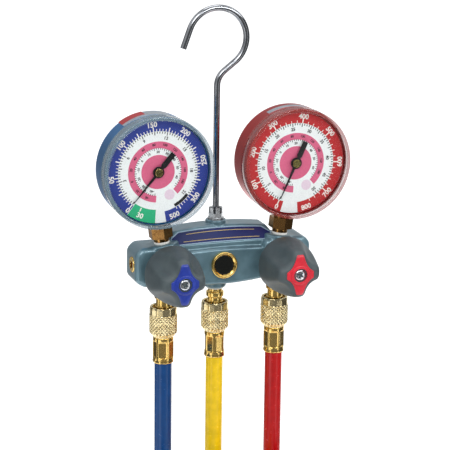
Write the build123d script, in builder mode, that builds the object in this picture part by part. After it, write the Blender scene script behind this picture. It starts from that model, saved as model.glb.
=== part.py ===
"""Two-valve refrigerant manifold with two dial gauges, a swivel hook and three charging hoses.

Frame: X to the right, Y to the back, Z up. The origin is the hook's seat, the inside top of its bow.
Heights named *_H are measured from the valve axis, which lies SEAT_TO_VALVE below the seat.
"""
from build123d import *
from math import cos, pi, radians, sin, tan
import os

# ---------------------------------------------------------------- driving dimensions, millimetres
SEAT_TO_VALVE = 187.9
Z0 = -SEAT_TO_VALVE
FRONT = Plane.XZ.shift_origin((0, 0, Z0))  # looks at the front; offset(d) is the plane at Y = -d
SIDES = {"left": -1, "right": 1}

FIT = 0.05  # radial running clearance

# manifold body
BAR_HALF = 58.0
END_HALF = 69.0
BODY_FLOOR_H = -12.8
BAR_TOP_H = 12.6
BAR_SAG = 3.2
BAR_BELLY = 2.7  # how far the underside bows down in the middle
BAR_BELLY_HALF = 34.0
BAR_FRONT = 20.0
END_FRONT = 22.0
END_TOP_H = 17.8
BACK = 5.0
MID_HALF = 40.0
MID_FRONT = 16.5
MID_BACK = 9.5
MID_TOP_H = 28.0
MID_SHOULDER_H = 25.6
FACET_LOW_H = 16.2
FACET_TOP_Y = -7.0
MID_CORNER_H = 21.5
MID_ROUND = 3.0
BACK_ROUND = 2.4
BAR_ROUND = 2.2
END_INNER = 31.0
END_SHOULDER = 64.0
END_FOOT = 62.0
END_FACE_LOW_H = -8.5
END_FACE_HIGH_H = 12.6
END_EDGE_ROUND = 6.5
END_FRONT_ROUND = 4.0
END_BACK_ROUND = 2.5
LABEL_RECESS = 0.7
LABEL_T = 0.5
LABEL_AT = 0.46  # share of the facet from its low edge to the plate's centre

# ports
PORT_X = 44.5
PORT_Y = -10.6
MID_BOSS_R = 8.5
SIDE_BOSS_R = 7.9
SIDE_BOSS_H = -17.0
MID_BOSS_H = -22.2
BOSS_ROUND = 1.4
PORT_THREAD_R = 4.6
PORT_THREAD_DEPTH = 6.0
THREAD_GAP = 0.02
PASSAGE_R = 2.5
GALLERY_Y = -10.6
GALLERY_R = 3.0
PLUG_R = 5.8
PLUG_LENGTH = 7.0
PLUG_PROUD = 0.6
PLUG_H = 3.4
PLUG_KEY_FLATS = 4.8

# sight glass
SIGHT_RING_R = 10.1
SIGHT_SLEEVE_R = 8.4
SIGHT_GLASS_R = 7.5
CHAMBER_R = 6.0
SIGHT_FRONT = 22.2
SIGHT_GLASS_FRONT = 20.8
SIGHT_SEAT = 15.2
SIGHT_SEAL_T = 0.8
SIGHT_BACK = -4.0

# valves
VALVE_X = 44.5
PISTON_R = 6.0
PISTON_BACK = 6.2
PISTON_LENGTH = 9.2
VALVE_BORE_BACK = 4.0
PISTON_GROOVE = 1.1
STEM_R = 3.0
STEM_TIP_R = 2.5
STEM_TIP = 4.0
STEM_END = 24.0  # how far the stem reaches into the knob
BONNET_R = 9.5
BONNET_FRONT = 28.4
BONNET_DEPTH = 4.0
SEAL_R = 4.6
KNOB_BACK = 29.0
KNOB_DEPTH = 34.0
KNOB_SKIRT_R = 21.3
KNOB_SHOULDER_R = 18.8
KNOB_FACE_R = 14.0
KNOB_RIM = 1.2
FLUTE_R = 13.0
FLUTE_AT_FACE = 25.0
FLUTE_SLOPE = 20.0
SIDE_LOBE_R = 16.4
STAR_LONG = 15.3
STAR_SHORT = 10.5
STAR_WAIST = 7.9
INSERT_DEPTH = 5.0
INSERT_PROUD = 0.7
INSERT_RING_R = 7.4
SCREW_SEAT = 1.6
SCREW_HEAD_R = 4.6
SCREW_HEAD_T = 2.6
SCREW_R = 2.0
SCREW_TIP = 14.0

# gauges
GAUGE_LEAN = 7.0
GAUGE_PORT_X = 46.6
GAUGE_PORT_Y = -12.9
PAD_TOP_H = 19.2
PAD_WIDE = 24.0
PAD_DEEP = 18.4
PAD_CORNER = 5.4
PAD_DEPTH = 9.0
WASHER_R = 5.9
WASHER_T = 1.4
GAUGE_RISE = 57.2  # from the pad to the gauge's centre, along the leaning stem
STEM_THREAD_R = 4.7
STEM_NECK = 3.2
STEM_THREAD = 9.0
STEM_HEX_FLATS = 15.9
STEM_HEX_TOP = 12.8
STEM_TOP_R = 6.0
SOCKET_BLOCK = (16.0, 19.0)
SOCKET_BLOCK_LOW = 25.5
CASE_R = 41.4
CASE_WALL = 1.5
CASE_BACK = -9.4
CASE_STEP = 9.0
CASE_NECK_R = 40.0
CASE_NECK_END = 13.5
BORE_R = 38.6
LENS_R = 42.0
LENS_FRONT = 19.4
LENS_FACE_T = 1.8
DIAL_R = 38.3
DIAL_FRONT = 12.8
DIAL_T = 0.8
POINTER_FRONT = 14.6
POINTER_T = 0.5
POINTER_TIP = 29.0
POINTER_TAIL = 17.5
HUB_R = 3.1
HUB_FRONT = 16.4
ZERO_ANGLE = {"left": 40.5, "right": 24.4}  # clockwise from straight down, where the pointer rests

# gauge movement
TOOTH_MODULE = 0.5
PINION_TEETH = 8
SECTOR_TEETH = 80  # of a full circle
GEAR_CENTRES = TOOTH_MODULE * (PINION_TEETH + SECTOR_TEETH) / 2
PLATE_BACK = 2.4
PLATE_T = 0.8
PLATE_FRONT = 8.8
PINION_BACK = 4.6
PINION_FRONT = 7.4
SECTOR_BACK = 5.2
SECTOR_FRONT = 6.8
TUBE_R = 31.0
TAIL_R = 6.0
TAIL_ANGLE = 200.0
TIP_ANGLE = 190.0
TUBE_START = -75.0
TUBE_HALF = 1.5
TUBE_BACK = -6.5
ARBOR_R = 0.9
LINK_HALF = 0.9
LINK_PIN_R = 0.6
LINK_EYE_R = 1.5

# hose fittings and coupling nuts
NUT_R = 10.7
NUT_LENGTH = 23.7
NUT_MOUTH_R = 8.3
NUT_BORE_R = 5.6
NUT_WAIST_R = 4.3
NUT_RIM = 1.2
NUT_BAND_R = 10.35
NUT_BAND_END = 5.6
NUT_FOOT_ROUND = 3.2
NUT_FOOT_RECESS = 1.4
NUT_FOOT_RECESS_R = 6.2
NUT_MOUTH = 5.0
NUT_SEAT_R = 5.4
NUT_SEAT = 16.9
FITTING_NECK_R = 5.5
FITTING_BEAD_R = 6.8
FITTING_BEAD = 4.6
FITTING_TIP_R = 5.5
FITTING_TIP = 12.2
PORT_SEAL_R = 6.3
PORT_SEAL_T = 1.0
NIPPLE_R = NUT_WAIST_R - FIT
NIPPLE_HEAD_R = 5.3
NIPPLE_HEAD = 12.4
NIPPLE_SHANK = 16.8
BARB_R = 3.2
FERRULE_R = 7.8
FERRULE_GAP = 0.1
FERRULE_LENGTH = 20.0
FERRULE_CAP = 1.6
FERRULE_LIP = 1.4
FERRULE_LIP_R = 8.05
FERRULE_FLAT_R = 7.05
FERRULE_FLAT = (13.5, 5.6)
CRIMP_TURN = {"left": -10.5, "middle": 19.5, "right": -10.5}  # the first flat's angle
SIDE_NUT_TOP_H = -30.8
MID_NUT_TOP_H = -33.6

# hoses: one 60 in hose at each port, hanging, its spare length folded into a tied hank
HOSE_R = 6.6
HOSE_LENGTH = 1470.0
FOLD_R = 41.5
HANK_TOP_H = -208.0
LAYER = 13.6
TIE_T = 1.4
TIE_WIDE = 20.0
HOSES = {"left": (-PORT_X, PORT_Y, SIDE_NUT_TOP_H, -1), "middle": (0.0, 0.0, MID_NUT_TOP_H, 1),
         "right": (PORT_X, PORT_Y, SIDE_NUT_TOP_H, 1)}

# swivel hook
ROD_R = 2.38
BOW_R = 22.65
BOW_CENTRE = (0.0, -(BOW_R - ROD_R))
TIP_START = 160.0
TIP_LENGTH = 15.2
BOW_END = -52.0
NECK_R = 14.0
HOOK_BOSS_R = 8.0
HOOK_BOSS_H = 30.8
HOOK_NUT_TOP_H = 39.8
HOOK_NUT_FLATS = 10.0
HOOK_NUT_RIM_R = 6.2
HOOK_NUT_RIM = 1.2
HOOK_SLOT = 1.9
HOOK_SLOT_DEPTH = 4.1
COLLAR_R = 4.6
HOOK_SEAT_R = 5.0
HOOK_SEAT_DEPTH = 6.4
ROD_HOLE_DEPTH = 13.0


def finish(block, name):
    """Label a finished sub-part and write its STEP file."""
    block.part.label = name
    export_step(block.part, f"parts/{name}.step")


def facing(x, depth_back, height=0.0):
    """A plane parallel to the front, centred on (x, height), at Y = -depth_back."""
    return Plane((x, -depth_back, Z0 + height), x_dir=(1, 0, 0), z_dir=(0, -1, 0))


def level(x, y, height):
    """A level plane, facing up, through (x, y) at a height above the valve axis."""
    return Plane((x, y, Z0 + height), x_dir=(1, 0, 0), z_dir=(0, 0, 1))


def across(x, y, height=0.0):
    """A plane square to X through (x, y): local x runs back, local y up, local z to the right."""
    return Plane((x, y, Z0 + height), x_dir=(0, 1, 0), z_dir=(1, 0, 0))


def stem_axis(side):
    """The direction in which a gauge's stem leans up and out of the body."""
    lean = radians(GAUGE_LEAN)
    return Vector(side * sin(lean), 0, cos(lean))


def pad_plane(side):
    """The plane of a gauge port's pad, square to the leaning stem."""
    lean = radians(GAUGE_LEAN)
    return Plane((side * GAUGE_PORT_X, GAUGE_PORT_Y, Z0 + PAD_TOP_H),
                 x_dir=(cos(lean), 0, -side * sin(lean)), z_dir=stem_axis(side))


def gauge_face(side):
    """The dial-parallel plane through the stem: local y runs up the stem, local z to the front."""
    lean = radians(GAUGE_LEAN)
    centre = Vector(side * GAUGE_PORT_X, GAUGE_PORT_Y, Z0 + PAD_TOP_H) + stem_axis(side) * GAUGE_RISE
    return Plane(centre, x_dir=(cos(lean), 0, -side * sin(lean)), z_dir=(0, -1, 0))


FACET_RISE = MID_TOP_H - FACET_LOW_H
FACET_RUN = FACET_TOP_Y + MID_FRONT
FACET_PLANE = Plane((0, LABEL_AT * FACET_RUN - MID_FRONT, Z0 + FACET_LOW_H + LABEL_AT * FACET_RISE),
                    x_dir=(1, 0, 0), z_dir=(0, -FACET_RISE, FACET_RUN))


def label_outline(plane, grow):
    """The arched outline of the name-plate recess, made larger by grow."""
    with BuildSketch(plane) as outline:
        with BuildLine():
            Line((-39 - grow, -1.0), (-38.4 - grow, -6.0 - grow))
            ThreePointArc((-38.4 - grow, -6.0 - grow), (0, -5.2 - grow), (38.4 + grow, -6.0 - grow))
            Polyline((38.4 + grow, -6.0 - grow), (39 + grow, -1.0), (32.5 + grow, 3.6 + grow))
            ThreePointArc((32.5 + grow, 3.6 + grow), (0, 5.3 + grow), (-32.5 - grow, 3.6 + grow))
            Line((-32.5 - grow, 3.6 + grow), (-39 - grow, -1.0))
        make_face()
    return outline.sketch


def boss_height(x):
    """The height of the face under the port at x."""
    return MID_BOSS_H if x == 0 else SIDE_BOSS_H


# ---------------------------------------------------------------- manifold body
def bar_solid():
    """The long front bar, its top edge sagging from the middle to the ends and its underside bowed."""
    with BuildPart() as bar:
        with BuildSketch(FRONT.offset(-BACK)):
            with BuildLine():
                Polyline((-BAR_HALF, BAR_TOP_H - BAR_SAG), (-BAR_HALF, BODY_FLOOR_H),
                         (-BAR_BELLY_HALF, BODY_FLOOR_H))
                ThreePointArc((-BAR_BELLY_HALF, BODY_FLOOR_H), (0, BODY_FLOOR_H - BAR_BELLY),
                              (BAR_BELLY_HALF, BODY_FLOOR_H))
                Polyline((BAR_BELLY_HALF, BODY_FLOOR_H), (BAR_HALF, BODY_FLOOR_H),
                         (BAR_HALF, BAR_TOP_H - BAR_SAG))
                ThreePointArc((BAR_HALF, BAR_TOP_H - BAR_SAG), (0, BAR_TOP_H),
                              (-BAR_HALF, BAR_TOP_H - BAR_SAG))
            make_face()
        extrude(amount=BACK + BAR_FRONT)
        fillet(bar.faces().sort_by(Axis.Y)[0].edges(), radius=BAR_ROUND)
    return bar.part


def end_solid(side):
    """The block behind one valve, with sloping corners and rounded edges."""
    with BuildPart() as end:
        with BuildSketch(FRONT.offset(-BACK)):
            with BuildLine():
                Polyline((side * END_INNER, BODY_FLOOR_H), (side * END_FOOT, BODY_FLOOR_H),
                         (side * END_HALF, END_FACE_LOW_H), (side * END_HALF, END_FACE_HIGH_H),
                         (side * END_SHOULDER, END_TOP_H), (side * END_INNER, END_TOP_H), close=True)
            make_face()
        extrude(amount=BACK + END_FRONT)
        fillet(end.edges().filter_by(Axis.Y), radius=END_EDGE_ROUND)
        for face, soft in ((0, END_FRONT_ROUND), (-1, END_BACK_ROUND)):
            fillet(end.faces().sort_by(Axis.Y)[face].edges(), radius=soft)
    return end.part


def pad_solid(side):
    """The eight-sided pad under one gauge."""
    with BuildPart() as pad:
        with BuildSketch(pad_plane(side)) as top:
            Rectangle(PAD_WIDE, PAD_DEEP)
            chamfer(top.vertices(), length=PAD_CORNER)
        extrude(amount=-PAD_DEPTH)
        chamfer(pad.faces().sort_by(Axis.Z)[-1].edges(), length=1.0)
    return pad.part


def make_body():
    """The painted manifold: an arched middle, a front bar, two end blocks, pads, bosses and bores."""
    with BuildPart() as body:
        with BuildSketch(FRONT.offset(-MID_BACK)):
            with BuildLine():
                Polyline((-37, MID_SHOULDER_H), (-MID_HALF, MID_CORNER_H), (-MID_HALF, BODY_FLOOR_H),
                         (MID_HALF, BODY_FLOOR_H), (MID_HALF, MID_CORNER_H), (37, MID_SHOULDER_H))
                ThreePointArc((37, MID_SHOULDER_H), (0, MID_TOP_H), (-37, MID_SHOULDER_H))
            make_face()
        extrude(amount=MID_BACK + MID_FRONT)
        with BuildSketch(across(-MID_HALF - 1, 0)):
            with BuildLine():
                Polyline((-MID_FRONT - 1, FACET_LOW_H - FACET_RISE / FACET_RUN),
                         (FACET_TOP_Y + 1, MID_TOP_H + FACET_RISE / FACET_RUN),
                         (-MID_FRONT - 1, MID_TOP_H + FACET_RISE / FACET_RUN), close=True)
            make_face()
        extrude(amount=2 * MID_HALF + 2, mode=Mode.SUBTRACT)
        fillet(body.edges().filter_by(Axis.X).sort_by(Axis.Z)[:2], radius=MID_ROUND)
        fillet(body.faces().sort_by(Axis.Y)[-1].edges().sort_by(Axis.Z)[-3:], radius=BACK_ROUND)
        add(bar_solid())
        for side in SIDES.values():
            add(end_solid(side))
            add(pad_solid(side))
            with BuildSketch(level(side * PORT_X, PORT_Y, SIDE_BOSS_H)):
                Circle(SIDE_BOSS_R)
            extrude(amount=BODY_FLOOR_H - SIDE_BOSS_H + 4)
        with BuildSketch(level(0, 0, MID_BOSS_H)):
            Circle(MID_BOSS_R)
        extrude(amount=BODY_FLOOR_H - MID_BOSS_H + 4)
        fillet(body.faces().sort_by(Axis.Z)[0].edges(), radius=BOSS_ROUND)
        with BuildSketch(level(0, 0, END_TOP_H)):
            Circle(HOOK_BOSS_R)
        extrude(amount=HOOK_BOSS_H - END_TOP_H)
        fillet(body.faces().sort_by(Axis.Z)[-1].edges(), radius=0.8)

        # name-plate recess in the sloping facet
        extrude(label_outline(FACET_PLANE, 0.5), amount=-LABEL_RECESS, mode=Mode.SUBTRACT)
        # gallery from end to end, with a plug bore at each end
        with BuildSketch(across(PLUG_LENGTH - END_HALF, GALLERY_Y)):
            Circle(GALLERY_R)
        extrude(amount=2 * (END_HALF - PLUG_LENGTH), mode=Mode.SUBTRACT)
        for side in SIDES.values():
            with BuildSketch(Plane((side * (END_HALF + 1), GALLERY_Y, Z0 + PLUG_H), z_dir=(-side, 0, 0))):
                Circle(PLUG_R)
            extrude(amount=PLUG_LENGTH + 1, mode=Mode.SUBTRACT)
            # valve bore
            with BuildSketch(facing(side * VALVE_X, END_FRONT + 1)):
                Circle(PISTON_R + FIT)
            extrude(amount=-(END_FRONT + 1 - VALVE_BORE_BACK), mode=Mode.SUBTRACT)
            # gauge port: the thread's bore, then a passage to the valve
            with BuildSketch(pad_plane(side).offset(1)):
                Circle(STEM_THREAD_R + FIT)
            extrude(amount=-(STEM_THREAD + 1.4), mode=Mode.SUBTRACT)
            with BuildSketch(pad_plane(side)):
                Circle(PASSAGE_R - 0.5)
            extrude(amount=-17, mode=Mode.SUBTRACT)
        # hose ports: a threaded bore and a passage up into the gallery
        for x, y, _, _ in HOSES.values():
            boss = boss_height(x)
            with BuildSketch(level(x, y, boss - 1)):
                Circle(PASSAGE_R)
            extrude(amount=-boss - 3, mode=Mode.SUBTRACT)
            with BuildSketch(level(x, y, boss - 1)):
                Circle(PORT_THREAD_R)
            extrude(amount=PORT_THREAD_DEPTH + 1, mode=Mode.SUBTRACT)
        # sight chamber and the seat of its ring
        with BuildSketch(facing(0, BAR_FRONT + 1)):
            Circle(SIGHT_SLEEVE_R + THREAD_GAP)
        extrude(amount=-(BAR_FRONT + 1 - SIGHT_SEAT), mode=Mode.SUBTRACT)
        with BuildSketch(facing(0, SIGHT_SEAT + 1)):
            Circle(CHAMBER_R)
        extrude(amount=-(SIGHT_SEAT + 1 - SIGHT_BACK), mode=Mode.SUBTRACT)
        # seat of the hook's collar and the hole for its rod
        with BuildSketch(level(0, 0, HOOK_BOSS_H + 1)):
            Circle(HOOK_SEAT_R)
        extrude(amount=-HOOK_SEAT_DEPTH - 1, mode=Mode.SUBTRACT)
        with BuildSketch(level(0, 0, HOOK_BOSS_H)):
            Circle(ROD_R + FIT)
        extrude(amount=-ROD_HOLE_DEPTH, mode=Mode.SUBTRACT)
    finish(body, "manifold_body")


def make_body_trim():
    """The name plate, the end plugs and the sight glass with its ring and seal."""
    with BuildPart() as plate:
        extrude(label_outline(FACET_PLANE.offset(-LABEL_RECESS), 0.3), amount=LABEL_T)
    finish(plate, "label_plate")

    with BuildPart() as plugs:
        for side in SIDES.values():
            plug_at = (side * (END_HALF - PLUG_LENGTH), GALLERY_Y, Z0 + PLUG_H)
            with BuildSketch(Plane(plug_at, z_dir=(side, 0, 0))):
                Circle(PLUG_R - THREAD_GAP)
            extrude(amount=PLUG_LENGTH + PLUG_PROUD)
            key_at = (side * (END_HALF + PLUG_PROUD), GALLERY_Y, Z0 + PLUG_H)
            with BuildSketch(Plane(key_at, z_dir=(-side, 0, 0))):
                RegularPolygon(radius=PLUG_KEY_FLATS / 2, side_count=6, major_radius=False)
            extrude(amount=4, mode=Mode.SUBTRACT)
    finish(plugs, "end_plugs")

    with BuildPart() as ring:
        with BuildSketch(facing(0, SIGHT_SEAT + 0.2)):
            Circle(SIGHT_SLEEVE_R)
        extrude(amount=BAR_FRONT - SIGHT_SEAT - 0.2)
        with BuildSketch(facing(0, BAR_FRONT)):
            Circle(SIGHT_RING_R)
        extrude(amount=SIGHT_FRONT - BAR_FRONT)
        fillet(ring.faces().sort_by(Axis.Y)[0].edges(), radius=0.8)
        with BuildSketch(facing(0, SIGHT_SEAT)):
            Circle(SIGHT_GLASS_R)
        extrude(amount=SIGHT_FRONT - SIGHT_SEAT + 1, mode=Mode.SUBTRACT)
    finish(ring, "sight_glass_ring")

    with BuildPart() as glass:
        with BuildSketch(facing(0, SIGHT_SEAT + SIGHT_SEAL_T)):
            Circle(SIGHT_GLASS_R - THREAD_GAP)
        extrude(amount=SIGHT_GLASS_FRONT - SIGHT_SEAT - SIGHT_SEAL_T)
        fillet(glass.faces().sort_by(Axis.Y)[0].edges(), radius=0.4)
    finish(glass, "sight_glass")

    with BuildPart() as seal:
        with BuildSketch(facing(0, SIGHT_SEAT)):
            Circle(SIGHT_GLASS_R - THREAD_GAP)
            Circle(CHAMBER_R, mode=Mode.SUBTRACT)
        extrude(amount=SIGHT_SEAL_T)
    finish(seal, "sight_glass_seal")


# ---------------------------------------------------------------- hook
def make_hook():
    """The bent wire hook with its collar, and the castellated nut that keeps it in the body."""
    rod_foot = Z0 + HOOK_BOSS_H - ROD_HOLE_DEPTH + 0.4
    bow = Vector(BOW_CENTRE[0], BOW_CENTRE[1])
    start = bow + Vector(cos(radians(BOW_END)), sin(radians(BOW_END))) * BOW_R
    slope = Vector(sin(radians(BOW_END)), -cos(radians(BOW_END)))
    corner = start + slope * (start.X / -slope.X)
    cut = NECK_R * tan(radians(-BOW_END / 2))  # the diagonal leans by as much as the bow's end
    tip = bow + Vector(cos(radians(TIP_START)), sin(radians(TIP_START))) * BOW_R
    tip_way = Vector(-sin(radians(TIP_START)), cos(radians(TIP_START)))
    with BuildPart() as hook:
        with BuildLine(Plane.XZ):
            rod = Line((0, rod_foot), (0, corner.Y - cut))
            neck_end = corner - slope * cut
            TangentArc(rod @ 1, (neck_end.X, neck_end.Y), tangent=(0, 1))
            Line((neck_end.X, neck_end.Y), (start.X, start.Y))
            CenterArc((bow.X, bow.Y), BOW_R, BOW_END, TIP_START - BOW_END)
            Line((tip.X, tip.Y), (tip.X + tip_way.X * TIP_LENGTH, tip.Y + tip_way.Y * TIP_LENGTH))
        with BuildSketch(Plane.XY.offset(rod_foot)):
            Circle(ROD_R)
        sweep()
        with BuildSketch(level(0, 0, HOOK_BOSS_H - HOOK_SEAT_DEPTH + 0.4)):
            Circle(COLLAR_R)
        extrude(amount=2)
    finish(hook, "hook")

    with BuildPart() as nut:
        with BuildSketch(level(0, 0, HOOK_BOSS_H)):
            Circle(HOOK_NUT_RIM_R)
        extrude(amount=HOOK_NUT_RIM)
        with BuildSketch(level(0, 0, HOOK_BOSS_H + HOOK_NUT_RIM)):
            RegularPolygon(radius=HOOK_NUT_FLATS / 2, side_count=6, major_radius=False)
        extrude(amount=HOOK_NUT_TOP_H - HOOK_BOSS_H - HOOK_NUT_RIM)
        with BuildSketch(level(0, 0, HOOK_BOSS_H - 2.2)):
            Circle(HOOK_SEAT_R - THREAD_GAP)
        extrude(amount=2.2)
        for k in range(3):
            with BuildSketch(level(0, 0, HOOK_NUT_TOP_H - HOOK_SLOT_DEPTH)):
                Rectangle(2 * HOOK_NUT_FLATS, HOOK_SLOT, rotation=60 * k)
            extrude(amount=2 * HOOK_SLOT_DEPTH, mode=Mode.SUBTRACT)
        with BuildSketch(level(0, 0, HOOK_NUT_TOP_H + 1)):
            Circle(ROD_R + FIT)
        extrude(amount=-14, mode=Mode.SUBTRACT)
    finish(nut, "hook_nut")


# ---------------------------------------------------------------- valves and knobs
def star(plane):
    """A four-pointed star with hollow sides, its long points up and down."""
    tip = 2.6
    with BuildSketch(plane) as points:
        with BuildLine():
            for sx, sy in ((1, 1), (-1, 1), (-1, -1), (1, -1)):
                ThreePointArc((sx * tip, sy * STAR_LONG), (sx * STAR_WAIST * 0.66, sy * STAR_WAIST * 0.82),
                              (sx * STAR_SHORT, sy * tip))
                Line((0, sy * STAR_LONG), (sx * tip, sy * STAR_LONG))
                Line((sx * STAR_SHORT, 0), (sx * STAR_SHORT, sy * tip))
        make_face()
    return points.sketch


def knob_profile(axis_plane, grow):
    """Half of the knob's turned outline: local x is the radius, local y the distance from its back."""
    face = KNOB_DEPTH + grow
    with BuildSketch(axis_plane) as half:
        with BuildLine():
            Polyline((0, 0), (KNOB_SKIRT_R - KNOB_RIM, 0))
            Spline((KNOB_SKIRT_R - KNOB_RIM, 0), (KNOB_SKIRT_R + grow, 4), (KNOB_SHOULDER_R + 1 + grow, 20),
                   (KNOB_SHOULDER_R - KNOB_RIM + grow, 29), (KNOB_FACE_R + grow, face))
            Polyline((KNOB_FACE_R + grow, face), (0, face), (0, 0))
        make_face()
    return half.sketch


def make_piston(name, x):
    """The valve piston, with a groove for its seal ring and a socket for the stem's tip."""
    front = PISTON_BACK + PISTON_LENGTH
    with BuildPart() as piston:
        with BuildSketch(facing(x, PISTON_BACK)):
            Circle(PISTON_R)
        extrude(amount=PISTON_LENGTH)
        chamfer(piston.faces().sort_by(Axis.Y)[-1].edges(), length=1.5)
        with BuildSketch(facing(x, front)):
            Circle(STEM_TIP_R + FIT)
        extrude(amount=-STEM_TIP - 0.2, mode=Mode.SUBTRACT)
        with BuildSketch(facing(x, PISTON_BACK + 4)):
            Circle(PISTON_R + 1)
            Circle(PISTON_R - PISTON_GROOVE, mode=Mode.SUBTRACT)
        extrude(amount=1.8, mode=Mode.SUBTRACT)
    finish(piston, f"valve_piston_{name}")


def make_stem(name, x):
    """The stem: a thin tip turning in the piston, a shaft through the bonnet and a hole for the screw."""
    shoulder = PISTON_BACK + PISTON_LENGTH + 0.3
    with BuildPart() as stem:
        with BuildSketch(facing(x, shoulder - 0.3 - STEM_TIP)):
            Circle(STEM_TIP_R)
        extrude(amount=STEM_TIP + 1)
        with BuildSketch(facing(x, shoulder)):
            Circle(STEM_R)
        extrude(amount=KNOB_BACK + STEM_END - shoulder)
        with BuildSketch(facing(x, KNOB_BACK + STEM_END)):
            Circle(SCREW_R)
        extrude(amount=-12, mode=Mode.SUBTRACT)
    finish(stem, f"valve_stem_{name}")


def make_knob(name, x):
    """The four-lobed knob, its star insert and the screw that holds both on the stem."""
    turning = Plane((x, -KNOB_BACK, Z0), x_dir=(1, 0, 0), z_dir=(0, 0, -1))  # local y runs to the front
    axis = Axis((x, 0, Z0), (0, -1, 0))
    face = KNOB_BACK + KNOB_DEPTH
    lean = radians(FLUTE_SLOPE)
    with BuildPart() as knob:
        revolve(knob_profile(turning, 0), axis=axis)
        for k in range(4):
            around = radians(45 + 90 * k)
            out = Vector(cos(around), 0, sin(around))
            start = Vector(x, -face, Z0) + out * FLUTE_AT_FACE
            with BuildSketch(Plane(start, z_dir=Vector(0, -cos(lean), 0) - out * sin(lean))):
                Circle(FLUTE_R)
            extrude(amount=45, both=True, mode=Mode.SUBTRACT)
        for flank in (-1, 1):
            with BuildSketch(level(x, 0, -KNOB_SKIRT_R - 4)):
                with BuildLine():
                    Polyline((flank * SIDE_LOBE_R, -face - 1), (flank * 30, -face - 1),
                             (flank * 30, -KNOB_BACK - 7), (flank * KNOB_SKIRT_R, -KNOB_BACK - 7),
                             close=True)
                make_face()
            extrude(amount=2 * KNOB_SKIRT_R + 8, mode=Mode.SUBTRACT)
        extrude(star(facing(x, face - INSERT_DEPTH)), amount=INSERT_DEPTH + 2, mode=Mode.SUBTRACT)
        with BuildSketch(facing(x, KNOB_BACK)):
            Circle(STEM_R)
        extrude(amount=STEM_END, mode=Mode.SUBTRACT)
        with BuildSketch(facing(x, KNOB_BACK + STEM_END)):
            Circle(SCREW_R)
        extrude(amount=KNOB_DEPTH, mode=Mode.SUBTRACT)
    finish(knob, f"knob_{name}")

    with BuildPart() as insert:
        revolve(knob_profile(turning, INSERT_PROUD), axis=axis)
        extrude(star(facing(x, face - INSERT_DEPTH)), amount=INSERT_DEPTH + 3, mode=Mode.INTERSECT)
        with BuildSketch(facing(x, face + INSERT_PROUD)):
            Circle(INSERT_RING_R)
        extrude(amount=0.7)
        with BuildSketch(facing(x, face - SCREW_SEAT)):
            Circle(SCREW_HEAD_R + 0.5)
        extrude(amount=6, mode=Mode.SUBTRACT)
        with BuildSketch(facing(x, face - INSERT_DEPTH - 1)):
            Circle(SCREW_R)
        extrude(amount=INSERT_DEPTH + 1, mode=Mode.SUBTRACT)
    finish(insert, f"knob_insert_{name}")

    with BuildPart() as screw:
        with BuildSketch(facing(x, face - SCREW_SEAT)):
            Circle(SCREW_HEAD_R)
        extrude(amount=SCREW_HEAD_T)
        fillet(screw.faces().sort_by(Axis.Y)[0].edges(), radius=1.2)
        with BuildSketch(facing(x, face - SCREW_SEAT + SCREW_HEAD_T)):
            Rectangle(5.2, 1.1)
            Rectangle(1.1, 5.2)
        extrude(amount=-1.5, mode=Mode.SUBTRACT)
        with BuildSketch(facing(x, KNOB_BACK + SCREW_TIP)):
            Circle(SCREW_R)
        extrude(amount=KNOB_DEPTH - SCREW_SEAT - SCREW_TIP)
    finish(screw, f"knob_screw_{name}")


def make_bonnets():
    """The brass bonnets that close the valve bores, and the stem seals inside them."""
    with BuildPart() as bonnets:
        for side in SIDES.values():
            x = side * VALVE_X
            with BuildSketch(facing(x, END_FRONT)):
                Circle(BONNET_R)
            extrude(amount=BONNET_FRONT - END_FRONT)
            with BuildSketch(facing(x, END_FRONT - BONNET_DEPTH)):
                Circle(PISTON_R)
            extrude(amount=BONNET_DEPTH)
            with BuildSketch(facing(x, END_FRONT - BONNET_DEPTH - 1)):
                Circle(STEM_R + FIT)
            extrude(amount=12, mode=Mode.SUBTRACT)
            with BuildSketch(facing(x, END_FRONT - BONNET_DEPTH)):
                Circle(SEAL_R)
            extrude(amount=2, mode=Mode.SUBTRACT)
    finish(bonnets, "valve_bonnets")

    with BuildPart() as seals:
        for side in SIDES.values():
            with BuildSketch(facing(side * VALVE_X, END_FRONT - BONNET_DEPTH + 0.1)):
                Circle(SEAL_R - THREAD_GAP)
                Circle(STEM_R + FIT, mode=Mode.SUBTRACT)
            extrude(amount=1.8)
    finish(seals, "stem_seals")


# ---------------------------------------------------------------- gauges
def tooth_ring(plane, pitch_r, teeth, first, last, start_angle):
    """Trapezoid teeth round the sketch's centre, thinner than their gaps, which is the backlash."""
    step = 360 / teeth
    half = 0.40 * step / 2
    root, crown = pitch_r - 1.15 * TOOTH_MODULE, pitch_r + 0.75 * TOOTH_MODULE
    corners = ((root - 0.3, -1.3), (root, -1.3), (crown, -0.45), (crown, 0.45), (root, 1.3),
               (root - 0.3, 1.3))
    with BuildSketch(plane) as ring:
        for k in range(first, last + 1):
            with BuildLine():
                Polyline([polar(r, start_angle + k * step + w * half) for r, w in corners], close=True)
            make_face()
    return ring.sketch


def polar(radius, angle):
    """A point of the gauge's face from its radius and its angle, anticlockwise from local x."""
    return (radius * cos(radians(angle)), radius * sin(radians(angle)))


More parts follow.
